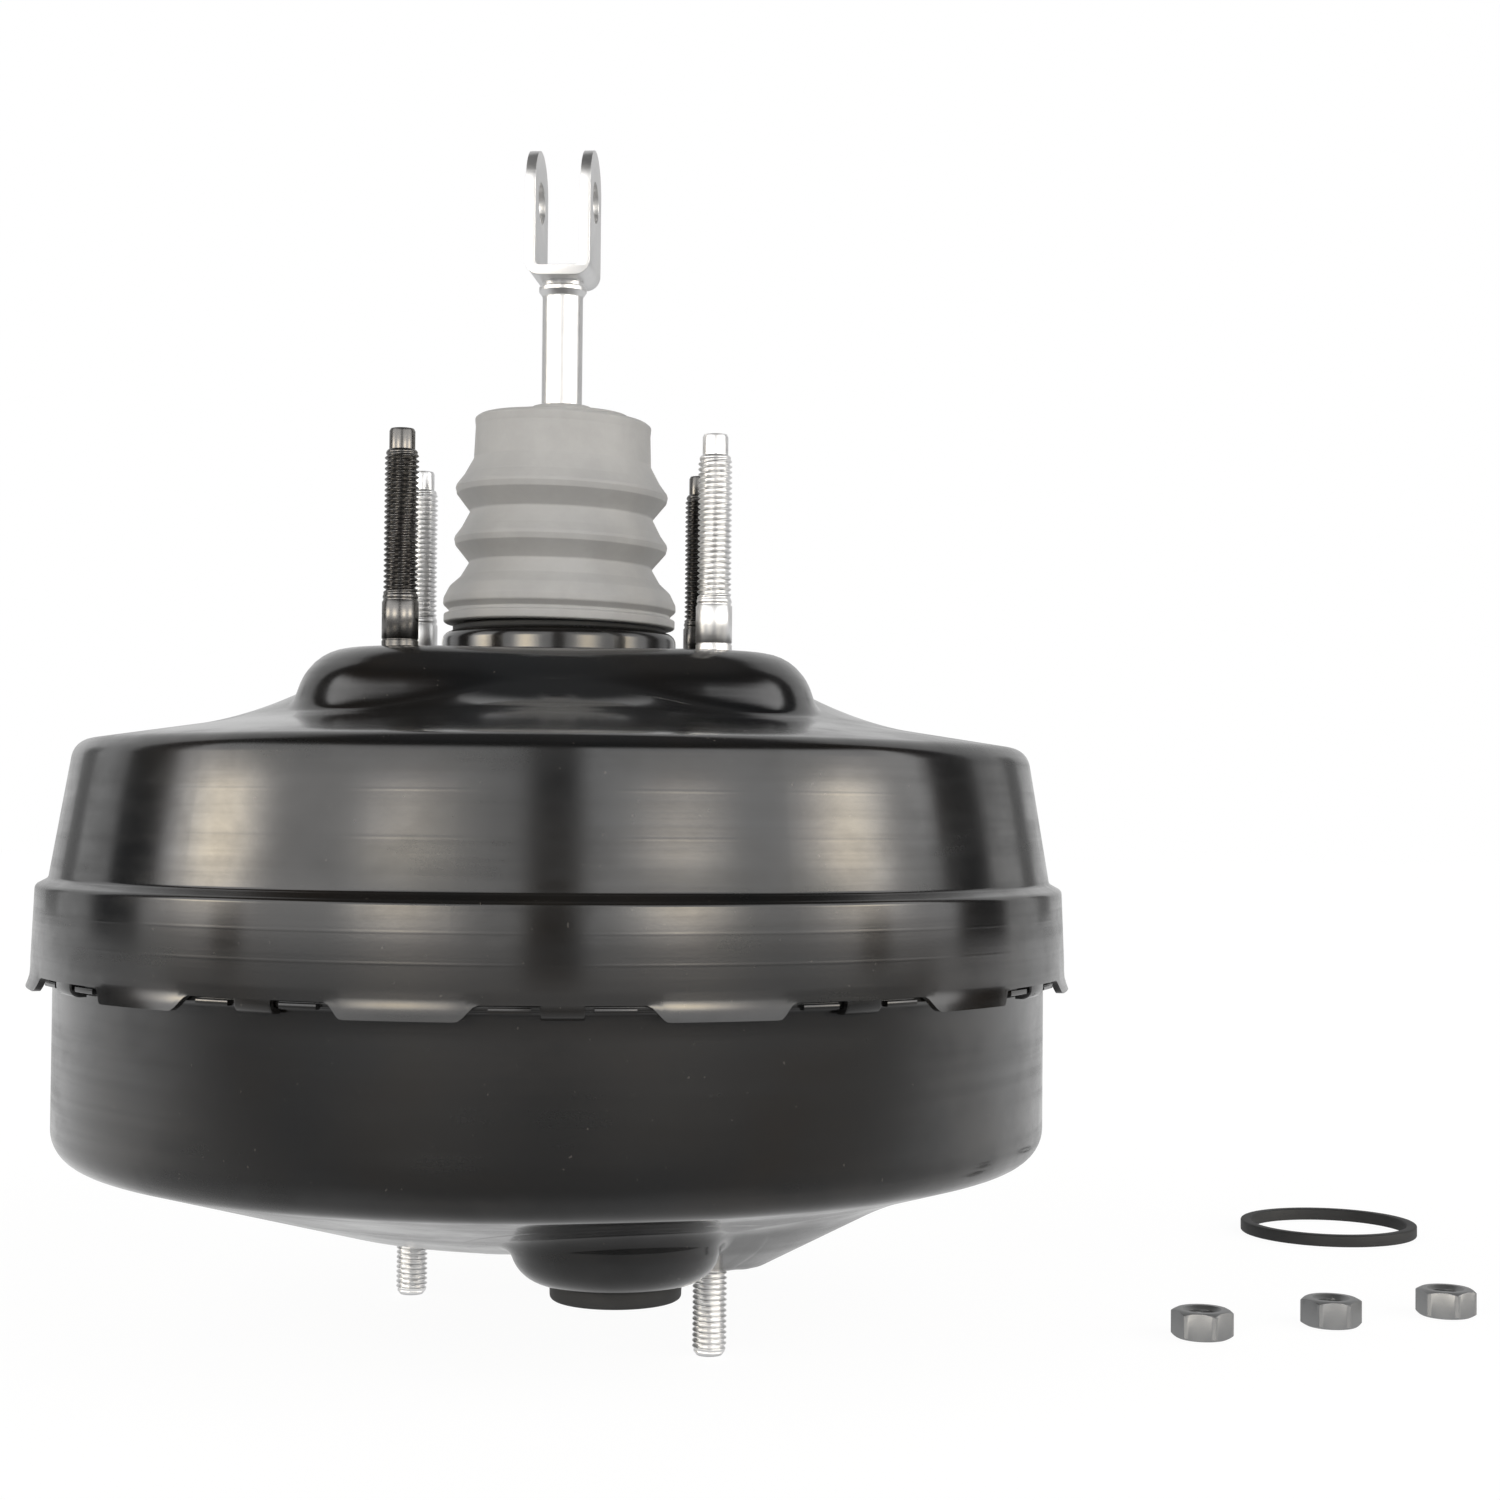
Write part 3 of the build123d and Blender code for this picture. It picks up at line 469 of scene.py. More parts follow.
# %% Columns and walls
def crimp_offset(turn):
    """Distance along the skirt from the middle of the nearest tab, in millimetres."""
    pitch = 2 * math.pi / crimps
    phase = (turn - math.radians(crimp_turn) + pitch / 2) % pitch - pitch / 2
    return np.abs(phase) * skirt_r


def crimp_turns():
    """Column angles: even ones, with extra ones at both flanks of each lug."""
    even = np.arange(0, 360, 1.5)
    flank = np.degrees(np.linspace(gap_half - 1.0, lug_half + 1.5, 8) / skirt_r)
    tabs = crimp_turn + 360 / crimps * np.arange(crimps)
    extra = (tabs[:, None] + np.concatenate([flank, -flank])[None, :]).ravel() % 360
    return np.radians(np.unique(np.round(np.concatenate([even, extra]), 3)))


def inner_side(r, z, thick):
    """The same section moved inwards along its normals."""
    dr, dz = np.gradient(r, axis=0), np.gradient(z, axis=0)
    length = np.hypot(dr, dz) + 1e-9
    return r + dz / length * thick, z - dr / length * thick


def columns_of(section, count):
    """A plain section repeated for each column, as r and z."""
    return np.repeat(section[:, 0, None], count, 1), np.repeat(section[:, 1, None], count, 1)


def sheet_piece(name, outer, inner, turn, centre=(0.0, 0.0), stands_for=()):
    """Closed piece of enamelled sheet from its outer rows and its inner ones, each as r and z."""
    r, z = (np.vstack([outer[k], inner[k][::-1]]) for k in (0, 1))
    return grid_piece(name, around(r, turn, z, centre), enamel, "housing", closed_rows=True, sharp=50.0,
                      stands_for=stands_for, slot="black_enamel")


print("rear shell columns", len(crimp_turns()))


# %% Rear shell
def collar_rows(count):
    """Rows of the collar: a mouth turned in, a rolled top edge and a round foot on the hub."""
    section = rounded([(collar_mouth, collar_top - sheet, 0), (collar_mouth, collar_top, 0.5),
                       (collar_r, collar_top, collar_roll), (collar_r, hub_face, 1.5),
                       (collar_r + collar_foot, hub_face, 0)], 7)
    return columns_of(section, count)


def hub_rows(turn):
    """Rows of the hub's face, edge and cone. Each is the rounded square moved out by a distance,
    and from the cone on they turn evenly into the circle of cone_end_r."""
    square = rounded_square(turn, hub_half, hub_corner)
    inner_r = collar_r + collar_foot
    flat_r = inner_r + (square - hub_edge - inner_r) * np.array([[0.25], [0.5], [0.75]])
    out = np.concatenate([np.linspace(-hub_edge, -3, 7), np.linspace(-2.3, 8.0, 20)])[:, None]
    edge_r = square + out
    share = np.linspace(0, 1, 19)[1:, None]
    edge_r = np.vstack([edge_r, edge_r[-1] + (cone_end_r - edge_r[-1]) * share])
    edge_z = -soft_low(-hub_height(edge_r - square), -cone_height(edge_r, turn), hub_blend_width)
    return np.vstack([flat_r, edge_r]), np.vstack([hub_face + 0 * flat_r, edge_z])


def wall_rows(count):
    """Rows from the cone's rounded shoulder down the wall, over the step and down the skirt."""
    section = rounded([(cone_end_r, cone_height(cone_end_r), 0), (wall_top, cone_height(wall_top), 5.0),
                       (wall_foot, step_z, 1.2), (skirt_top_r, flange_z, 1.5),
                       (skirt_r, gap_z + hem_rise, 0)], 6)
    return columns_of(refine(section, 7.0)[1:], count)


def hem_rows(turn):
    """Rows of the hem. Its foot falls from the gap to the lug by 3 s^2 - 2 s^3, s the share of the
    flank, and it flares out by lug_flare times the depth below the gap to the power 1.3."""
    share = np.clip((crimp_offset(turn) - gap_half) / (lug_half - gap_half), 0, 1)
    foot = gap_z + (lug_z - gap_z) * share ** 2 * (3 - 2 * share)
    down = np.array([0.3, 0.6, 0.8, 0.93, 1.0])[:, None]
    hem_z = gap_z + hem_rise + (foot - gap_z - hem_rise) * down
    depth = np.clip((gap_z - hem_z) / (gap_z - lug_z), 0, 1)
    return skirt_r + lug_flare * depth ** 1.3, hem_z


def rear_shell():
    """Outer rows from the collar to the hem, then the same rows moved in by the sheet."""
    turn = crimp_turns()
    count = len(turn)
    hem_r, hem_z = hem_rows(turn)
    rows = (collar_rows(count), hub_rows(turn), wall_rows(count), (hem_r, hem_z))
    r, z = (np.vstack([part[k] for part in rows]) for k in (0, 1))
    in_r, in_z = inner_side(r, z, sheet)
    # The mouth's first three rows lie under its edge, and the hem's five end level
    in_z[:3] = np.minimum(in_z[:3], collar_top - sheet)
    in_r[:3] = collar_mouth + mouth_step * np.arange(3)[:, None]
    in_z[-5:] = hem_z
    in_r[-5:] = hem_r - sheet
    return sheet_piece("rear_shell_drawn", (r, z), (in_r, in_z), turn, stands_for=["rear_shell"])


shell = rear_shell()
print("rear shell faces", len(shell.data.polygons))

# %% [markdown]
# Each of the 12 tabs is a tongue of the skirt, bent in under the front shell's rim by a punch.
# It is a strip that follows a bent path, with a small rounded section.

# %% Crimp tabs
tab_half, tab_reach, rim_z = 4.4, 4.0, -74.6
tab_set_back, tab_start = 0.15, 2.2


def strip(path, half_width, thick, edge=0.35):
    """Strip of a given half width and thickness along a path in the XZ plane.
    The section is a rounded box, across the path and along its normal."""
    step = np.gradient(path, axis=0)
    step /= np.linalg.norm(step, axis=1)[:, None]
    normal = np.stack([-step[:, 1], step[:, 0]], -1)
    wide = half_width - edge
    deep = thick / 2 - edge
    section = []
    for cx, cy, start in ((wide, deep, 0), (-wide, deep, 90), (-wide, -deep, 180), (wide, -deep, 270)):
        for k in range(4):
            a = math.radians(start + 30 * k)
            section.append((cx + edge * math.cos(a), cy + edge * math.sin(a)))
    section = np.array(section)
    r = path[:, 0, None] + normal[:, 0, None] * section[:, 1]
    z = path[:, 1, None] + normal[:, 1, None] * section[:, 1]
    return r, section[:, 0] + 0 * r, z


def crimp_tabs():
    """Down the skirt's middle line, round a bend and in under the rim, turned by 360 k / crimps."""
    outer = skirt_r - sheet / 2 - tab_set_back
    low = rim_z - 1.5 * sheet
    path = rounded([(outer, gap_z + tab_start, 0), (outer, low, 1.5), (skirt_r - tab_reach, low, 0)], 6)
    r, side, z = strip(refine(path, 0.8), tab_half, sheet - 0.1)
    for k in range(crimps):
        a = math.radians(crimp_turn + 360 * k / crimps)
        x = r * math.cos(a) - side * math.sin(a)
        y = r * math.sin(a) + side * math.cos(a)
        grid_piece(f"crimp_tab_{k + 1:02d}", np.stack([x, y, z], -1), enamel, "housing", caps=True,
                   sharp=40.0, slot="black_enamel")


crimp_tabs()
print("crimp tabs", crimps)

# %% [markdown]
# Between tab and lug the front shell's rim shows in the gap, as a narrow bar on each side. A
# rounded bar is enough, since its upper edge catches a thin light and its face stays dark.

# %% Rim bars
bar_r, bar_z, bar_start, bar_end = 123.0, -75.75, 6.2, 14.6
bar_half_deep, bar_half_high, bar_edge = 0.9, 0.62, 0.28


def rim_bars():
    """Rounded box section carried along the arc s / r on both sides of each tab."""
    turn = np.linspace(0, 2 * math.pi, 17)[:-1]
    across = (bar_half_deep - bar_edge) * np.sign(np.cos(turn)) + bar_edge * np.cos(turn)
    upward = (bar_half_high - bar_edge) * np.sign(np.sin(turn)) + bar_edge * np.sin(turn)
    along = np.linspace(bar_start, bar_end, 9)[:, None] / bar_r
    for k in range(crimps):
        for side, place in ((-1, "left"), (1, "right")):
            a = math.radians(crimp_turn + 360 * k / crimps) + side * along
            grid_piece(f"rim_bar_{k + 1:02d}_{place}", around(bar_r + across, a, bar_z + upward), enamel,
                       "housing", caps=True, sharp=40.0, slot="black_enamel")


rim_bars()
print("rim bars", 2 * crimps)

# %% [markdown]
# The front shell is turned too, with a pad for the master cylinder pressed out of its cone. The
# pad has soft slopes, so it can be a change of height on the same grid, worked out from the
# distance to its outline.

# %% Sizes of the front shell
front_r, rim_r = 119.4, 122.4
front_corner_z, front_flat_r, front_flat_z = -117.5, 53.8, -136.3
corner_run = 12.0
front_slope = (front_corner_z - front_flat_z) / (front_r - front_flat_r)
pad_z, pad_end, pad_land, pad_flare, snout_r = -140.5, 13.0, 27.0, 8.0, 21.0
stud_reach = 104.1 / 2
boss_at, boss_r, boss_face, boss_edge, boss_blend = (14.5, -70.0), 23.0, -138.5, 8.0, 4.0
grommet_neck = 12.0
print("front cone rises", round(math.degrees(math.atan(front_slope)), 1), "degrees")


# %% Front shell
def front_height(x, y):
    """Height of the front shell's end face: the higher of a flat and a cone, then the lower of
    that and the pad, with soft creases. The pad is a bar along the stud line and a round land."""
    r = np.hypot(x, y)
    cone = front_corner_z - (front_r - r) * front_slope
    base = -soft_low(-cone, np.full_like(r, -front_flat_z), 1.5)
    along = (x - y) * math.sqrt(0.5)
    across = (x + y) * math.sqrt(0.5)
    bar = np.hypot(np.maximum(np.abs(along) - stud_reach, 0), across) - pad_end
    land = r - pad_land
    out = np.maximum(soft_low(bar, land, 3.0), 0.0)
    pad = pad_z + out * (front_flat_z - pad_z) / pad_flare
    return soft_low(base, pad, 1.2)


def front_shell():
    """Rings of the rim and wall, then rings of the end face at front_height, moved in by the sheet."""
    count = 440
    turn = even_turns(count)
    side = rounded([(front_r - sheet, rim_z, 0), (rim_r, rim_z, 0.5), (rim_r, rim_z - sheet, 0.5),
                    (front_r, rim_z - sheet, 1.0), (front_r, front_corner_z, 8.0),
                    (front_r - corner_run, front_corner_z - corner_run * front_slope, 0)], 9)
    side = refine(side, 5.0)
    side_r, side_z = columns_of(side, count)
    reach = np.linspace(side[-1, 0], snout_r, 62)[1:]
    end_r = np.repeat(reach[:, None], count, 1)
    end_z = front_height(end_r * np.cos(turn), end_r * np.sin(turn))
    r, z = np.vstack([side_r, end_r]), np.vstack([side_z, end_z])
    in_r, in_z = inner_side(r, z, sheet)
    # The first four inner rows close the rim's end, and the last one the snout's
    in_r[:4] = front_r - sheet
    in_z[:4] = rim_z - 0.2
    in_r[-1] = snout_r
    return sheet_piece("front_shell_drawn", (r, z), (in_r, in_z), turn, stands_for=["front_shell"])


shell = front_shell()
print("front shell faces", len(shell.data.polygons))

# %% [markdown]
# The vacuum port's boss is pressed out of the front shell's cone, with a round top edge and a
# round foot. In a section through it, a convex arc meets a concave arc that lies on the sloping
# line. The concave arc's centre stands its own radius above the line and both radii from the
# convex centre, or beside the upright wall where the line lies low enough for one. Working the
# two arcs out for each column lets the boss stand on a slope without a boolean.


# %% Raised form
def raised(edge, face, top_round, blend, start, slope, outer, counts):
    """Section of a raised form over the line h = start + slope r, for each column, as r and h from
    the top arc out to the radius outer. counts are the steps on arc, wall, foot and slope."""
    lift = blend * np.sqrt(1 + slope ** 2)
    convex_r, convex_h = edge - top_round, face - top_round
    # Quadratic for the concave centre's radius, both radii away from the convex centre
    rise = start + lift - convex_h
    a = 1 + slope ** 2
    b = 2 * (slope * rise - convex_r)
    c = convex_r ** 2 + rise ** 2 - (top_round + blend) ** 2
    arc_r = (-b + np.sqrt(np.maximum(b * b - 4 * a * c, 0))) / (2 * a)
    wall_r = edge + blend
    upright = start + slope * wall_r + lift < convex_h
    centre_r = np.where(upright, wall_r, arc_r)
    centre_h = start + slope * centre_r + lift
    away_r = np.where(upright, top_round, (centre_r - convex_r) * top_round / (top_round + blend))
    away_h = np.where(upright, 0.0, (centre_h - convex_h) * top_round / (top_round + blend))
    end_angle = np.arctan2(away_r, away_h)
    rows_r, rows_h = [], []
    for k in range(counts[0] + 1):
        angle = end_angle * k / counts[0]
        rows_r.append(convex_r + top_round * np.sin(angle))
        rows_h.append(convex_h + top_round * np.cos(angle))
    wall_foot = np.where(upright, centre_h, rows_h[-1])
    for k in range(1, counts[1]):
        rows_r.append(rows_r[counts[0]])
        rows_h.append(rows_h[counts[0]] + (wall_foot - rows_h[counts[0]]) * k / counts[1])
    from_angle = np.arctan2(-away_r, -away_h)
    line_angle = np.arctan2(-slope, 1.0)
    to_angle = line_angle + math.pi
    from_angle = np.where(from_angle < 0, from_angle + 2 * math.pi, from_angle)
    for k in range(counts[2] + 1):
        angle = from_angle + (to_angle - from_angle) * k / counts[2]
        rows_r.append(centre_r + blend * np.sin(angle))
        rows_h.append(centre_h + blend * np.cos(angle))
    foot_r = rows_r[-1]
    for k in range(1, counts[3] + 1):
        place = foot_r + (outer - foot_r) * k / counts[3]
        rows_r.append(place)
        rows_h.append(start + slope * place)
    return np.array(rows_r), np.array(rows_h)


# %% [markdown]
# The boss is a patch of its own that ends level with the cone, a hair proud of it and then just
# under it, so the shell's grid can stay a plain one of rings.


# %% Port boss
def port_boss():
    """The port's raised boss, as a patch over the cone that ends level with it."""
    count = 180
    turn = even_turns(count)
    x0, y0 = boss_at
    near, far = boss_r + 2.0, boss_r + 8.0

    def cone_rise(r):
        return -front_height(x0 + r * np.cos(turn), y0 + r * np.sin(turn))

    near_h = cone_rise(near)
    slope = (cone_rise(far) - near_h) / (far - near)
    start = near_h - slope * near
    outer = boss_r + 11.0
    r, h = raised(np.full(count, boss_r), -boss_face, boss_edge, boss_blend, start, slope, outer,
                  counts=(14, 5, 12, 10))
    inner_rows = np.array([grommet_neck, grommet_neck + 1.5])[:, None] + 0 * turn
    r = np.vstack([inner_rows, r])
    h = np.vstack([-boss_face + 0 * inner_rows, h])
    true_h = cone_rise(r)
    share = np.clip((r - boss_r - 3.0) / 6.0, 0, 1)
    h = h + (true_h + 0.05 - h) * share ** 2 * (3 - 2 * share)
    h[-1] = true_h[-1] - 0.12
    return sheet_piece("port_boss", (r, -h), (r, sheet - h), turn, boss_at)


port_boss()
print("port boss stands", round(-boss_face + front_flat_z, 2), "mm past the flat")

# %% [markdown]
# The boot is a moulded bellows. Its outline is a short list of crests and valleys with round
# corners, spun about the rod, and small parting steps at its ends. The lip that grips the rod is
# a piece of its own, because the rod also tilts.

# %% Dust boot
boot_wall = 2.0
boot_outline = [
    (20.8, 60.2, 0.6), (21.8, 59.5, 0.6), (21.6, 57.4, 2.0), (21.9, 49.6, 1.0), (22.3, 48.8, 0.6),
    (24.2, 45.3, 2.0), (26.0, 42.9, 0.5), (26.2, 42.2, 0.4), (25.9, 40.8, 0.8), (22.5, 36.5, 0.6),
    (24.6, 32.4, 2.0), (26.1, 30.3, 0.5), (26.3, 29.6, 0.4), (26.0, 28.2, 0.8), (22.5, 24.0, 0.6),
    (24.6, 20.4, 2.0), (27.2, 18.0, 2.4),
    (28.6, 15.2, 1.6), (28.7, 13.6, 0.8), (27.3, 12.3, 0.4), (27.3, 11.6, 0.3),
    (28.5, 11.3, 0.4), (28.5, 9.4, 0.4),
]
boot_base = 9.05
boot_hole_r = 11.4
boot_base_lean, boot_top_lean, boot_top, boot_shift = 1.1, 2.3, 60.0, 0.5


def leaning(grid):
    """The boot sits askew on its neck: z falls by x times the tangent of a lean that grows upwards."""
    x, y, z = grid[..., 0], grid[..., 1], grid[..., 2]
    share = np.clip((z - boot_base) / (boot_top - boot_base), 0, 1)
    lean = np.radians(boot_base_lean + (boot_top_lean - boot_base_lean) * share)
    return np.stack([x + boot_shift * share, y, z - x * np.tan(lean)], -1)


def dust_boot():
    """The outline down the outside, the same crests moved in by the wall up the inside."""
    outer = rounded([(boot_hole_r, 61.5, 0)] + boot_outline + [(28.0, boot_base, 0)], 5)
    inner = rounded([(23.2, boot_base, 0), (23.2, 12.4, 0.5)]
                    + [(r - boot_wall, z, 0.8) for r, z, _ in boot_outline[-5:1:-1]]
                    + [(19.6, 57.6, 0.6), (boot_hole_r, 59.9, 0)], 3)
    section = refine(np.vstack([outer, inner]), 1.6)
    piece = grid_piece("dust_boot_moulded", leaning(spun(section, 128)), boot_rubber, "housing",
                       closed_rows=True, sharp=45.0, stands_for=["dust_boot"], slot="grey_rubber")
    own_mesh(piece)
    return piece


boot = dust_boot()
print("boot faces", len(boot.data.polygons))
spun_piece("boot_lip", [(5.25, 60.9, 0.2), (16.7, 60.3, 0.5), (16.8, 61.3, 0.5), (9.0, 62.0, 1.5),
                        (7.2, 63.6, 0.6), (5.25, 63.6, 0.3)],
           boot_rubber, "pushrod", columns=96, slot="grey_rubber")


# %% [markdown]
# A thread is a cylinder whose radius follows the distance along the helix. The phase is the
# height over the pitch minus the share of a turn, and a rounded triangle of that phase gives
# the crest and the root. It fades out at both ends of the threaded stretch.

# %% Threads
pitch = 1.25
crest_r, root_r = 3.98, 3.28


def thread_grid(low, high, plain, sign=1.0, columns=36, per_pitch=8):
    """Grid of a threaded stud: r = crest - depth times a wave of (z / pitch - turn share).
    plain is a list of (z, r) rows below and above the thread."""
    rows = int((high - low) / pitch * per_pitch)
    z = np.linspace(low, high, rows)[:, None]
    turn = even_turns(columns)
    phase = (z / pitch - turn / (2 * math.pi)) % 1.0
    wave = np.clip(np.abs(phase - 0.5) * 2.6 - 0.18, 0, 1)
    fade = np.clip(np.minimum(z - low, high - z) / pitch, 0, 1)
    r = crest_r - (crest_r - root_r) * wave * fade - 0.35 * (1 - fade) * (z > (low + high) / 2)
    below, above = (np.array(rows)[:, :, None] + 0 * turn for rows in plain)
    all_z = np.vstack([below[:, 0], z + 0 * turn, above[:, 0]])
    all_r = np.vstack([below[:, 1], r, above[:, 1]])
    return around(all_r, turn, all_z * sign)


print("thread depth", round(crest_r - root_r, 2), "mm")

# %% Studs
square_half = 36.4
shank = [(-6.5, 6.9), (-6.3, 7.5), (-4.2, 7.5), (-4.1, 4.4), (0.0, 4.4), (0.05, 4.2), (2.55, 4.25),
         (2.65, 4.08), (3.0, 4.08), (3.1, 4.25), (11.6, 4.25), (11.9, 4.0), (12.3, 3.9), (12.5, 4.1),
         (12.9, 4.1)]
dog = [(46.9, 3.35), (47.1, 3.0), (51.3, 3.0), (51.9, 2.7)]
firewall_grid = thread_grid(13.2, 46.5, (shank, dog))
places = {"dark": ((-1, -1), (1, 1)), "bright": ((1, -1), (-1, 1))}
for shade, finish, slot in (("dark", black_steel, "black_oxide"), ("bright", thread_zinc, "zinc_plate")):
    for k, (sx, sy) in enumerate(places[shade]):
        moved = firewall_grid + np.array([sx * square_half, sy * square_half, 0.0])
        grid_piece(f"firewall_stud_{shade}_{k + 1}", moved, finish, "housing", caps=True, sharp=60.0,
                   stands_for=[f"firewall_studs_{shade}"], slot=slot)

master_foot = [(134.0, 6.9), (134.2, 7.5), (136.3, 7.5), (136.4, 4.4), (139.3, 4.4), (139.4, 4.0)]
master_tip = [(161.4, 3.4), (162.0, 3.0)]
master_grid = thread_grid(140.0, 161.2, (master_foot, master_tip), sign=-1.0)
line = stud_reach * math.sqrt(0.5)
for k, side in enumerate((1, -1)):
    moved = master_grid + np.array([side * line, -side * line, 0.0])
    grid_piece(f"master_cylinder_stud_{k + 1}", moved, thread_zinc, "housing", caps=True, sharp=60.0,
               stands_for=["master_cylinder_studs"], slot="zinc_plate")
print("stud grids", firewall_grid.shape, master_grid.shape)

# %% [markdown]
# The port's grommet is a rubber bush: a smooth ring outside the boss, a groove that grips the
# sheet's edge, and a lip inside. The neck's seal fills the collar's mouth. Both are turned from
# corners of (r, z, radius), like their drawings.

# %% Grommet and neck seal
grommet_section = [(8.6, -142.2, 0.6), (14.3, -142.3, 0.9), (14.4, -138.55, 0.1),
                   (grommet_neck, -138.5, 0), (grommet_neck, -136.9, 0), (14.4, -136.9, 0.4),
                   (13.4, -133.9, 0.6), (8.6, -133.9, 0.3)]
seal_section = [(19.9, -1.0, 0), (27.2, -1.0, 0), (27.2, 5.8, 1.0), (24.5, 5.9, 0), (24.5, 7.5, 0),
                (26.2, 7.5, 0.3), (26.2, 9.0, 0.4), (21.5, 9.0, 0.3), (21.4, 1.6, 0), (19.9, 0.7, 0)]
grommet = spun_piece("vacuum_grommet_moulded", grommet_section, black_rubber, "housing", columns=96,
                     steps=4, centre=boss_at, stands_for=["vacuum_grommet"], slot="black_rubber")
neck_seal = spun_piece("neck_seal_moulded", seal_section, black_rubber, "housing", columns=96,
                       steps=3, stands_for=["neck_seal"], slot="black_rubber")
print("rubber faces", len(grommet.data.polygons), len(neck_seal.data.polygons))

# %% [markdown]
# The pushrod is turned and plated, with a ball, a flange for its spring, a flare and the rivet
# that holds the clevis, so one half section makes it.

# %% Pushrod
ball_end = [(0.05, -38.9, 0), (3.6, -37.4, 1.0), (5.0, -34.0, 2.0), (3.7, -30.5, 0)]
spring_flange = [(3.6, -10.0, 0.5), (5.0, -8.0, 0.5), (5.0, 23.8, 0), (8.0, 24.0, 0.3), (8.0, 25.6, 0.3),
                 (5.0, 25.8, 0)]
flare = [(5.0, 60.0, 0), (5.0, 91.0, 1.0), (5.9, 92.3, 0.3), (5.9, 93.4, 0.3), (5.2, 93.6, 0.1),
         (5.2, 94.7, 0)]
rivet = [(3.4, 94.75, 0), (3.4, 97.2, 0), (4.4, 97.25, 0.2), (3.9, 98.4, 0.4), (0.05, 98.4, 0)]
rod_path = refine(rounded(ball_end + spring_flange + flare + rivet, 5), 3.0)
grid_piece("pushrod_turned", spun(rod_path, 64), zinc, "pushrod", caps=True,
           stands_for=["pushrod"], slot="zinc_plate")
print("rod is", round(float(np.ptp(rod_path[:, 1])), 1), "mm long")


# %% [markdown]
# The clevis is a strap bent to a fork. A path could be swept for it, but its solid already has
# the right holes and bends. So a copy is merged, cleaned of the flat faces' loose triangles and
# given small rounded edges, which catch the light as sheared edges do.


# %% Clevis
def softened_clevis():
    """Copy of the solid with merged points, flat faces joined and its edges rounded by a Bevel."""
    copy = bpy.data.objects.new("clevis_bent", frame["nodes"]["clevis"].data.copy())
    weld = copy.modifiers.new("weld", "WELD")
    weld.merge_threshold = 0.00001
    flat = copy.modifiers.new("flat", "DECIMATE")
    flat.decimate_type = "DISSOLVE"
    flat.angle_limit = math.radians(0.6)
    bevel = copy.modifiers.new("bevel", "BEVEL")
    bevel.width = clevis_edge * mm
    bevel.segments = 3
    bevel.limit_method = "ANGLE"
    bevel.angle_limit = math.radians(40)
    scene.collection.objects.link(copy)
    view = bpy.context.evaluated_depsgraph_get()
    finished = bpy.data.meshes.new_from_object(copy.evaluated_get(view))
    copy.modifiers.clear()
    copy.data = finished
    return dress(copy, zinc, "pushrod", 35.0, ["clevis"])


clevis_edge = 0.45
clevis = softened_clevis()
print("clevis faces", len(clevis.data.polygons))

# %% [markdown]
# Two springs stand between pieces that come together. Each is a copy of its solid, and the share
# of its length that it would keep at the joint's limit is worked out. The copy's loose triangles
# are merged first.


# %% Springs
def squeezed_spring(node, name, body, joint):
    """Copy of the spring's solid with merged points, and the share 1 - travel / length of its length that it
    would keep at the joint's limit.
    """
    joints = frame["record"]["behaviour"]["joints"]
    travel = next(j["range_m"][1] for j in joints if j["name"] == joint)
    low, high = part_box(node)
    mesh = frame["nodes"][node].data.copy()
    work = bmesh.new()
    work.from_mesh(mesh)
    bmesh.ops.remove_doubles(work, verts=work.verts, dist=0.000001)
    work.to_mesh(mesh)
    work.free()
    piece = dress(bpy.data.objects.new(name, mesh), spring_steel, body, 50.0, [node])
    keep = 1 - travel / (high[2] - low[2])
    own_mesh(piece)
    print(name, "keeps", round(keep, 3))


squeezed_spring("piston_return_spring", "piston_spring", "housing", "piston_slide")
squeezed_spring("pushrod_return_spring", "pushrod_spring", "power_piston", "plunger_slide")

# %% [markdown]
# A nut is a hexagon cut by a cone at each end, so every flat ends in a curved line. It could be
# a boolean of a prism and a cone, but a grid is closed by itself and gives the lines as well: in
# a section at one angle the wall stands at the hexagon's radius, and the cone takes the corners.

# %% Mounting nuts
nut_flats, nut_height, nut_bore = 13.0, 6.8, 3.45
washer_share, chamfer = 0.955, math.radians(26.0)
nut_places = ((156.7, -21.7, 11.0), (192.4, -8.8, 21.0), (225.5, 2.4, 4.0))
kit_floor = -162.0


def nut_grid():
    """Grid of one nut: hexagon radius = half the flats / cos, and the chamfer's drop grows with
    the distance out from the washer face's radius."""
    turn = np.radians(np.arange(0, 360, 2.5))
    hexagon = nut_flats / 2 / np.cos((turn + math.pi / 6) % (math.pi / 3) - math.pi / 6)
    face_r = nut_flats / 2 * washer_share
    drop = (hexagon - face_r) * math.tan(chamfer)
    rows = []
    thread_rows = 26
    for k in range(thread_rows):
        z = 0.9 + (nut_height - 1.8) * k / (thread_rows - 1)
        phase = (z / pitch - turn / (2 * math.pi)) % 1.0
        rows.append((nut_bore - 0.1 + 0.55 * np.clip(np.abs(phase - 0.5) * 2.4, 0, 1), z + 0 * turn))
    top = [(4.1, nut_height - 0.5), (4.6, nut_height), (face_r - 0.3, nut_height)]
    rows += [(r + 0 * turn, z + 0 * turn) for r, z in top]
    for share in (0.0, 0.5, 0.9, 1.0):
        r = face_r + (hexagon - face_r) * share
        rows.append((r, nut_height - 0.05 - drop * share - 0.12 * (share == 1.0)))
    for share in (1.0, 0.9, 0.5, 0.0):
        r = face_r + (hexagon - face_r) * share
        rows.append((r, 0.05 + drop * share + 0.12 * (share == 1.0)))
    rows += [(r + 0 * turn, nut_height - z + 0 * turn) for r, z in top[::-1]]
    r = np.array([row[0] for row in rows])
    z = np.array([row[1] for row in rows])
    return r, turn, z


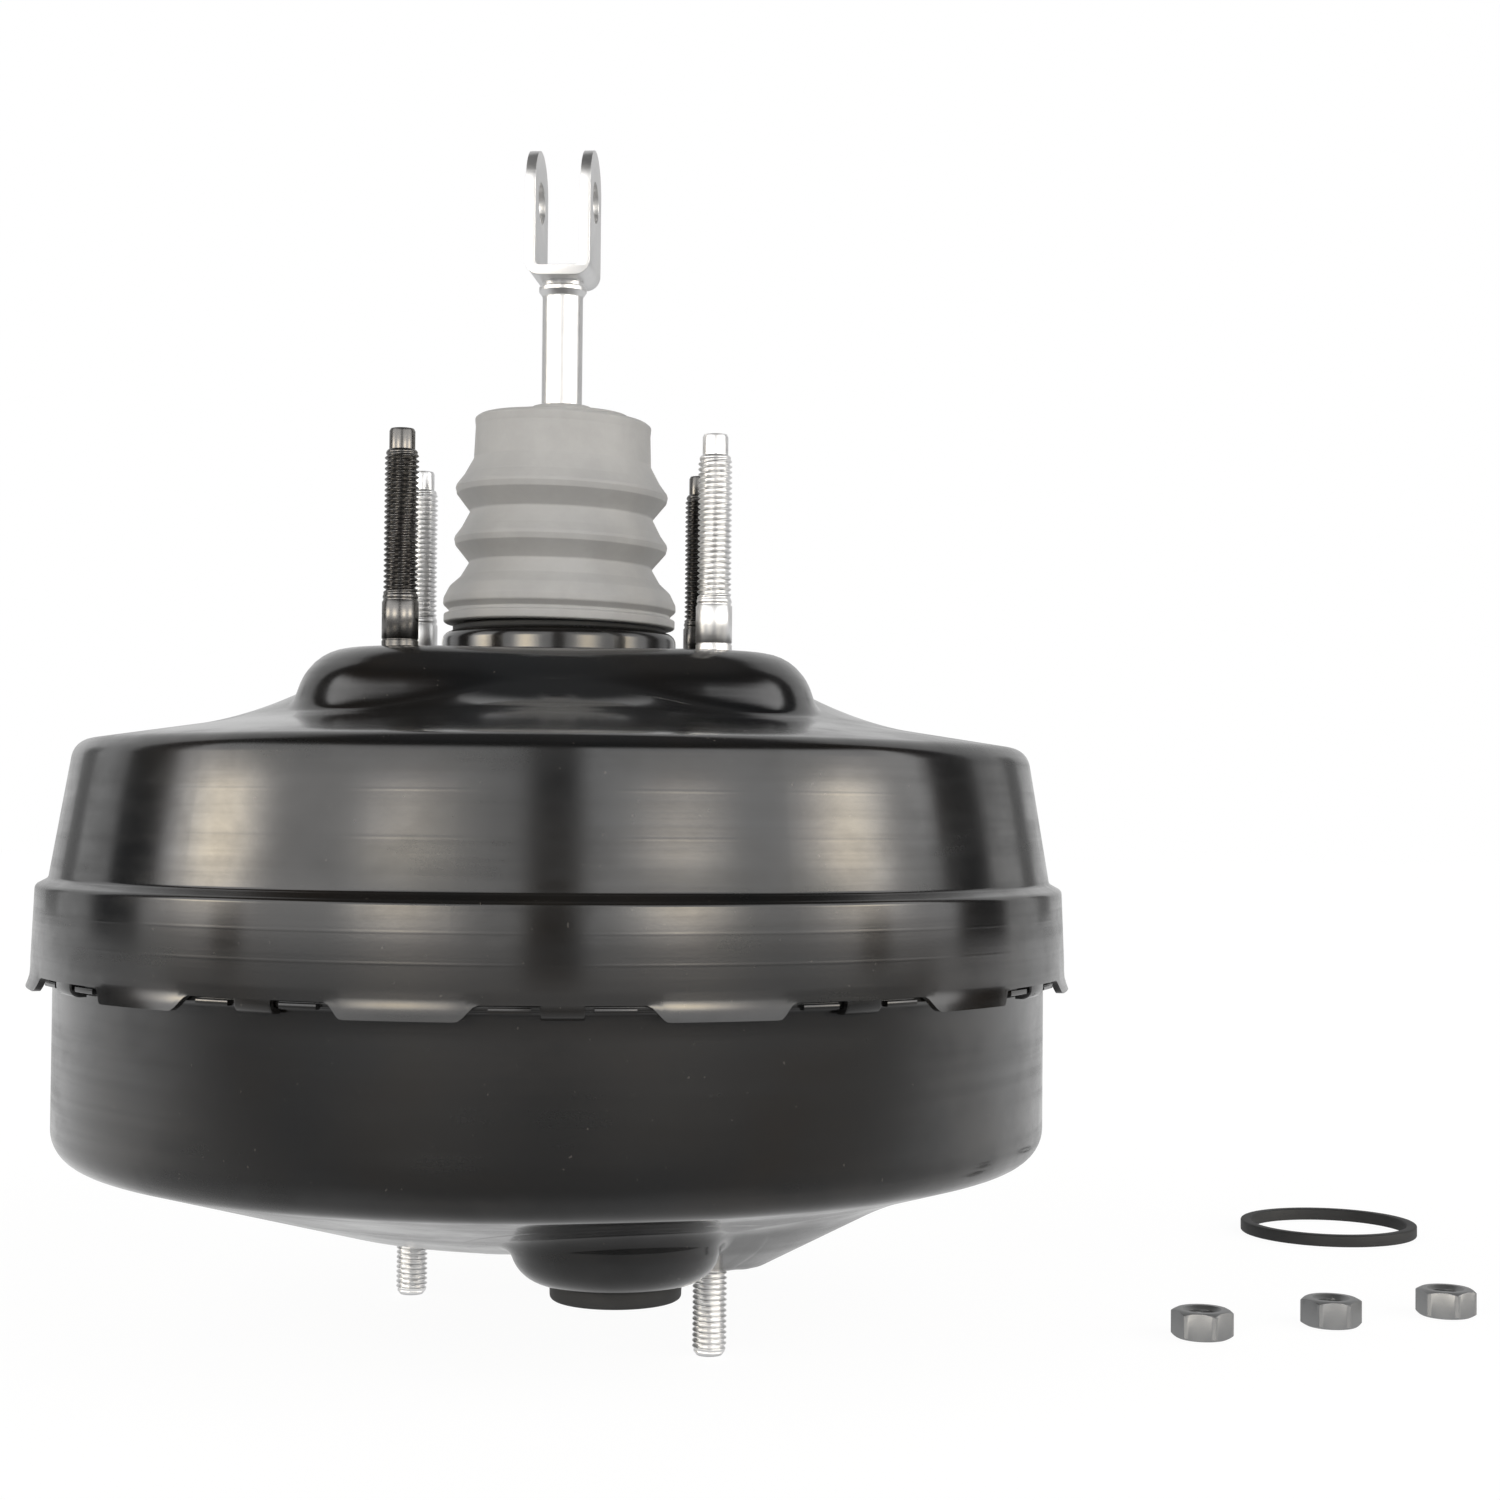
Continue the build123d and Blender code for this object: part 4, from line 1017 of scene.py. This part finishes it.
nut_r, nut_turn, nut_z = nut_grid()
for k, (x, y, angle) in enumerate(nut_places):
    spin = nut_turn + math.radians(angle)
    grid = around(nut_r, spin, kit_floor + nut_z, (x, y))
    grid_piece(f"mounting_nut_{k + 1}", grid, dull_zinc, "housing", closed_rows=True, sharp=28.0,
               stands_for=["mounting_nuts"], slot="nut_zinc")
print("nuts", len(nut_places))

# %% Seal ring
ring_inner, ring_outer, ring_high, ring_edge, ring_at = 23.0, 26.0, 3.4, 0.5, (232.7, 123.7)
ring_section = [(ring_inner, kit_floor, ring_edge), (ring_outer, kit_floor, ring_edge),
                (ring_outer, kit_floor + ring_high, ring_edge),
                (ring_inner, kit_floor + ring_high, ring_edge)]
spun_piece("master_cylinder_seal_ring", ring_section, black_rubber, "housing", columns=160, steps=4,
           centre=ring_at, stands_for=["master_cylinder_seal"], slot="black_rubber")
print("ring", 2 * ring_outer, "mm across")

# %% [markdown]
# The photo was taken from a little under the middle of the shell, so the camera looks level
# and slightly up. Its place comes from fitting the stud tips, the shell's sides and the
# threads' pitch.

# %% Camera
photo_side = 1500
focal_pixels = 2442.0
camera_at = np.array([6.47, -605.5, -36.3])
yaw, pitch_up, roll = np.radians([3.884, 1.454, -0.504])


def make_camera():
    """Looks along (sin yaw cos pitch, cos yaw cos pitch, sin pitch), turned about that by the roll."""
    flat = math.cos(pitch_up)
    forward = np.array([math.sin(yaw) * flat, math.cos(yaw) * flat, math.sin(pitch_up)])
    level = np.array([math.cos(yaw), -math.sin(yaw), 0.0])
    over = np.cross(level, forward)
    right = math.cos(roll) * level - math.sin(roll) * over
    up = math.sin(roll) * level + math.cos(roll) * over
    data = bpy.data.cameras.new("camera")
    data.sensor_width = 36.0
    data.lens = focal_pixels * data.sensor_width / photo_side
    print("lens", round(data.lens, 2), "mm")
    data.clip_start, data.clip_end = 0.01, 100.0
    camera = bpy.data.objects.new("camera", data)
    scene.collection.objects.link(camera)
    turned = np.column_stack([right, up, -forward])
    camera.matrix_world = Matrix.Translation(camera_at * mm) @ Matrix(turned.tolist()).to_4x4()
    scene.camera = camera


make_camera()

# %% [markdown]
# Black gloss is seen only by what it reflects. The object stands between two tall pale walls
# that leave a dark slot behind the camera, in front of a white sweep, under a dark ceiling: the
# walls make the grey bands of the shell, the slot its dark stripe, and the ceiling its black
# hub. Two plain soft boxes add a little shading to the matt pieces.

# %% Lights
middle = (0.0, 0.0, -0.04)
box_place, box_size, box_power = (1.1, -1.0, 0.95), 0.9, 3.0


def soft_box(name, place):
    """Square area lamp at a place in metres, facing the middle of the object."""
    data = bpy.data.lights.new(name, "AREA")
    data.size, data.energy = box_size, box_power
    lamp = bpy.data.objects.new(name, data)
    scene.collection.objects.link(lamp)
    lamp.visible_glossy = False
    lamp.location = place
    away = np.array(place) - np.array(middle)
    lamp.rotation_euler = Vector(away).to_track_quat("Z", "Y").to_euler()


for side, place_name in ((-1, "left"), (1, "right")):
    soft_box(f"{place_name}_soft_box", (side * box_place[0], box_place[1], box_place[2]))
print("soft boxes", box_power, "W each")

# %% [markdown]
# The floor is pale and takes the object's shadow, and to the camera it melts into the white
# background. In reflections it is bright only behind the object, because the studio floor in
# front is in the dark, and that is why the lower shell reads almost black.

# %% Floor
floor_half, floor_drop = 6.0, 0.0002
floor_seen_share, floor_glow = 0.9, 1.05
front_dark_y, back_bright_y = -0.36, 0.05
far_front_y, far_front_share = -1.2, 0.75
floor_dim, floor_bright = 0.22, 0.66


def ray_kind(tree, name):
    """1 for rays of one kind, 0 for the others."""
    return add_node(tree, "ShaderNodeLightPath", {}, {}, output=name)


def seen_ray(tree):
    """1 for what the camera sees, also through a transparent surface."""
    return ray_kind(tree, "Is Camera Ray").math("MAXIMUM", ray_kind(tree, "Is Transmission Ray"))


def make_floor():
    """One quad. Its material mixes the lit floor with a glow, all glow in reflections."""
    made = Finish("pale_floor", Roughness=0.8, Base_Color=(0.86, 0.86, 0.86, 1.0))
    tree = made.tree
    camera_ray = seen_ray(tree)
    mirrored = ray_kind(tree, "Is Glossy Ray")
    depth = add_node(tree, "ShaderNodeSeparateXYZ", {}, {0: made.place}, output=1)
    bright = depth.step(front_dark_y, back_bright_y) + depth.step(front_dark_y, far_front_y) * far_front_share
    seen_colour = made.mix(bright, grey(floor_dim), grey(floor_bright))
    colour = made.mix(camera_ray, seen_colour, grey(1.0))
    glow = add_node(tree, "ShaderNodeEmission", {}, {"Color": colour, "Strength": floor_glow})
    share = (camera_ray * floor_seen_share).math("MAXIMUM", mirrored)
    lit = Value(tree, made.shader.outputs[0])
    mixed = add_node(tree, "ShaderNodeMixShader", {}, {0: share, 1: lit, 2: glow})
    tree.links.new(mixed.socket, tree.nodes["Material Output"].inputs[0])
    mesh = bpy.data.meshes.new("floor")
    top = kit_floor * mm - floor_drop
    corners = [(-floor_half, -floor_half, top), (floor_half, -floor_half, top),
               (floor_half, floor_half, top), (-floor_half, floor_half, top)]
    mesh.from_pydata(corners, [], [(0, 1, 2, 3)])
    floor = bpy.data.objects.new("floor", mesh)
    scene.collection.objects.link(floor)
    mesh.materials.append(made.material)


make_floor()
print("floor at", kit_floor, "mm")

# %% [markdown]
# The room is painted by direction: an angle round from the camera's side, and an angle up. Each
# wall is a product of soft steps of those two angles, so its edges blur as a big soft box's do.
# Four warm glows low on the walls stand for the bulbs behind their cloth.

# %% Room
wall_level, ceiling_level, behind_level, dim_level = 1.75, 0.10, 0.62, 0.03
glow_turns, glow_rise, glow_level = (-79.0, -32.0, 28.0, 69.0), 11.0, 9.0
glow_half_turn, glow_half_rise = 17.0, 10.0
glow_colour = (1.0, 0.86, 0.64, 1.0)
wall_turn, wall_rise = (3.5, 9.0, 94.0, 100.0), (-5.0, 6.0, 34.0, 46.0)
gap_turn, gap_rise = (66.0, 70.0, 74.0, 78.0), (14.0, 8.0)
slot_turn, slot_rise, slot_depth = (132.0, 136.0, 142.0, 146.0), (18.0, 10.0), 0.8
behind_turn, behind_rise, ceiling_rise = (114.0, 119.0), (64.0, 50.0), (50.0, 80.0)


def band(value, start, full, fade, end):
    """Soft band: rises from start to full and falls from fade to end."""
    return value.step(start, full) * value.step(end, fade)


def make_world():
    """White for the camera. Other rays see two walls in front, the sweep behind and a dark ceiling."""
    world = bpy.data.worlds.new("room")
    scene.world = world
    world.use_nodes = True
    tree = world.node_tree
    place = add_node(tree, "ShaderNodeTexCoord", {}, {}, output="Generated")
    x, y, z = (add_node(tree, "ShaderNodeSeparateXYZ", {}, {0: place}, output=k) for k in range(3))
    side = x.math("ARCTAN2", y * -1.0) * (180 / math.pi)
    turn = side.math("ABSOLUTE")
    rise = z.math("ARCSINE") * (180 / math.pi)
    walls = band(turn, *wall_turn) * band(rise, *wall_rise)
    gap = band(turn, *gap_turn) * rise.step(*gap_rise)
    slot = band(turn, *slot_turn) * rise.step(*slot_rise) * slot_depth
    behind = turn.step(*behind_turn) * rise.step(*behind_rise) * (1.0 - slot) * behind_level
    ceiling = rise.step(*ceiling_rise) * ceiling_level
    glows = [(side - k).math("ABSOLUTE").step(glow_half_turn, 0.0) for k in glow_turns]
    glow = sum(glows[1:], glows[0]) * (rise - glow_rise).math("ABSOLUTE").step(glow_half_rise, 0.0)
    level = walls * (1.0 - gap) * wall_level + glow * glow_level + behind + ceiling + dim_level
    seen = seen_ray(tree)
    strength = level * (1.0 - seen) + seen
    tint = add_node(tree, "ShaderNodeMix", {"data_type": "RGBA"},
                    {"Factor": glow * (1.0 - seen), 6: grey(1.0), 7: glow_colour}, output=2)
    background = tree.nodes["Background"]
    tree.links.new(tint.socket, background.inputs["Color"])
    tree.links.new(strength.socket, background.inputs["Strength"])


make_world()
print("room nodes", len(scene.world.node_tree.nodes))
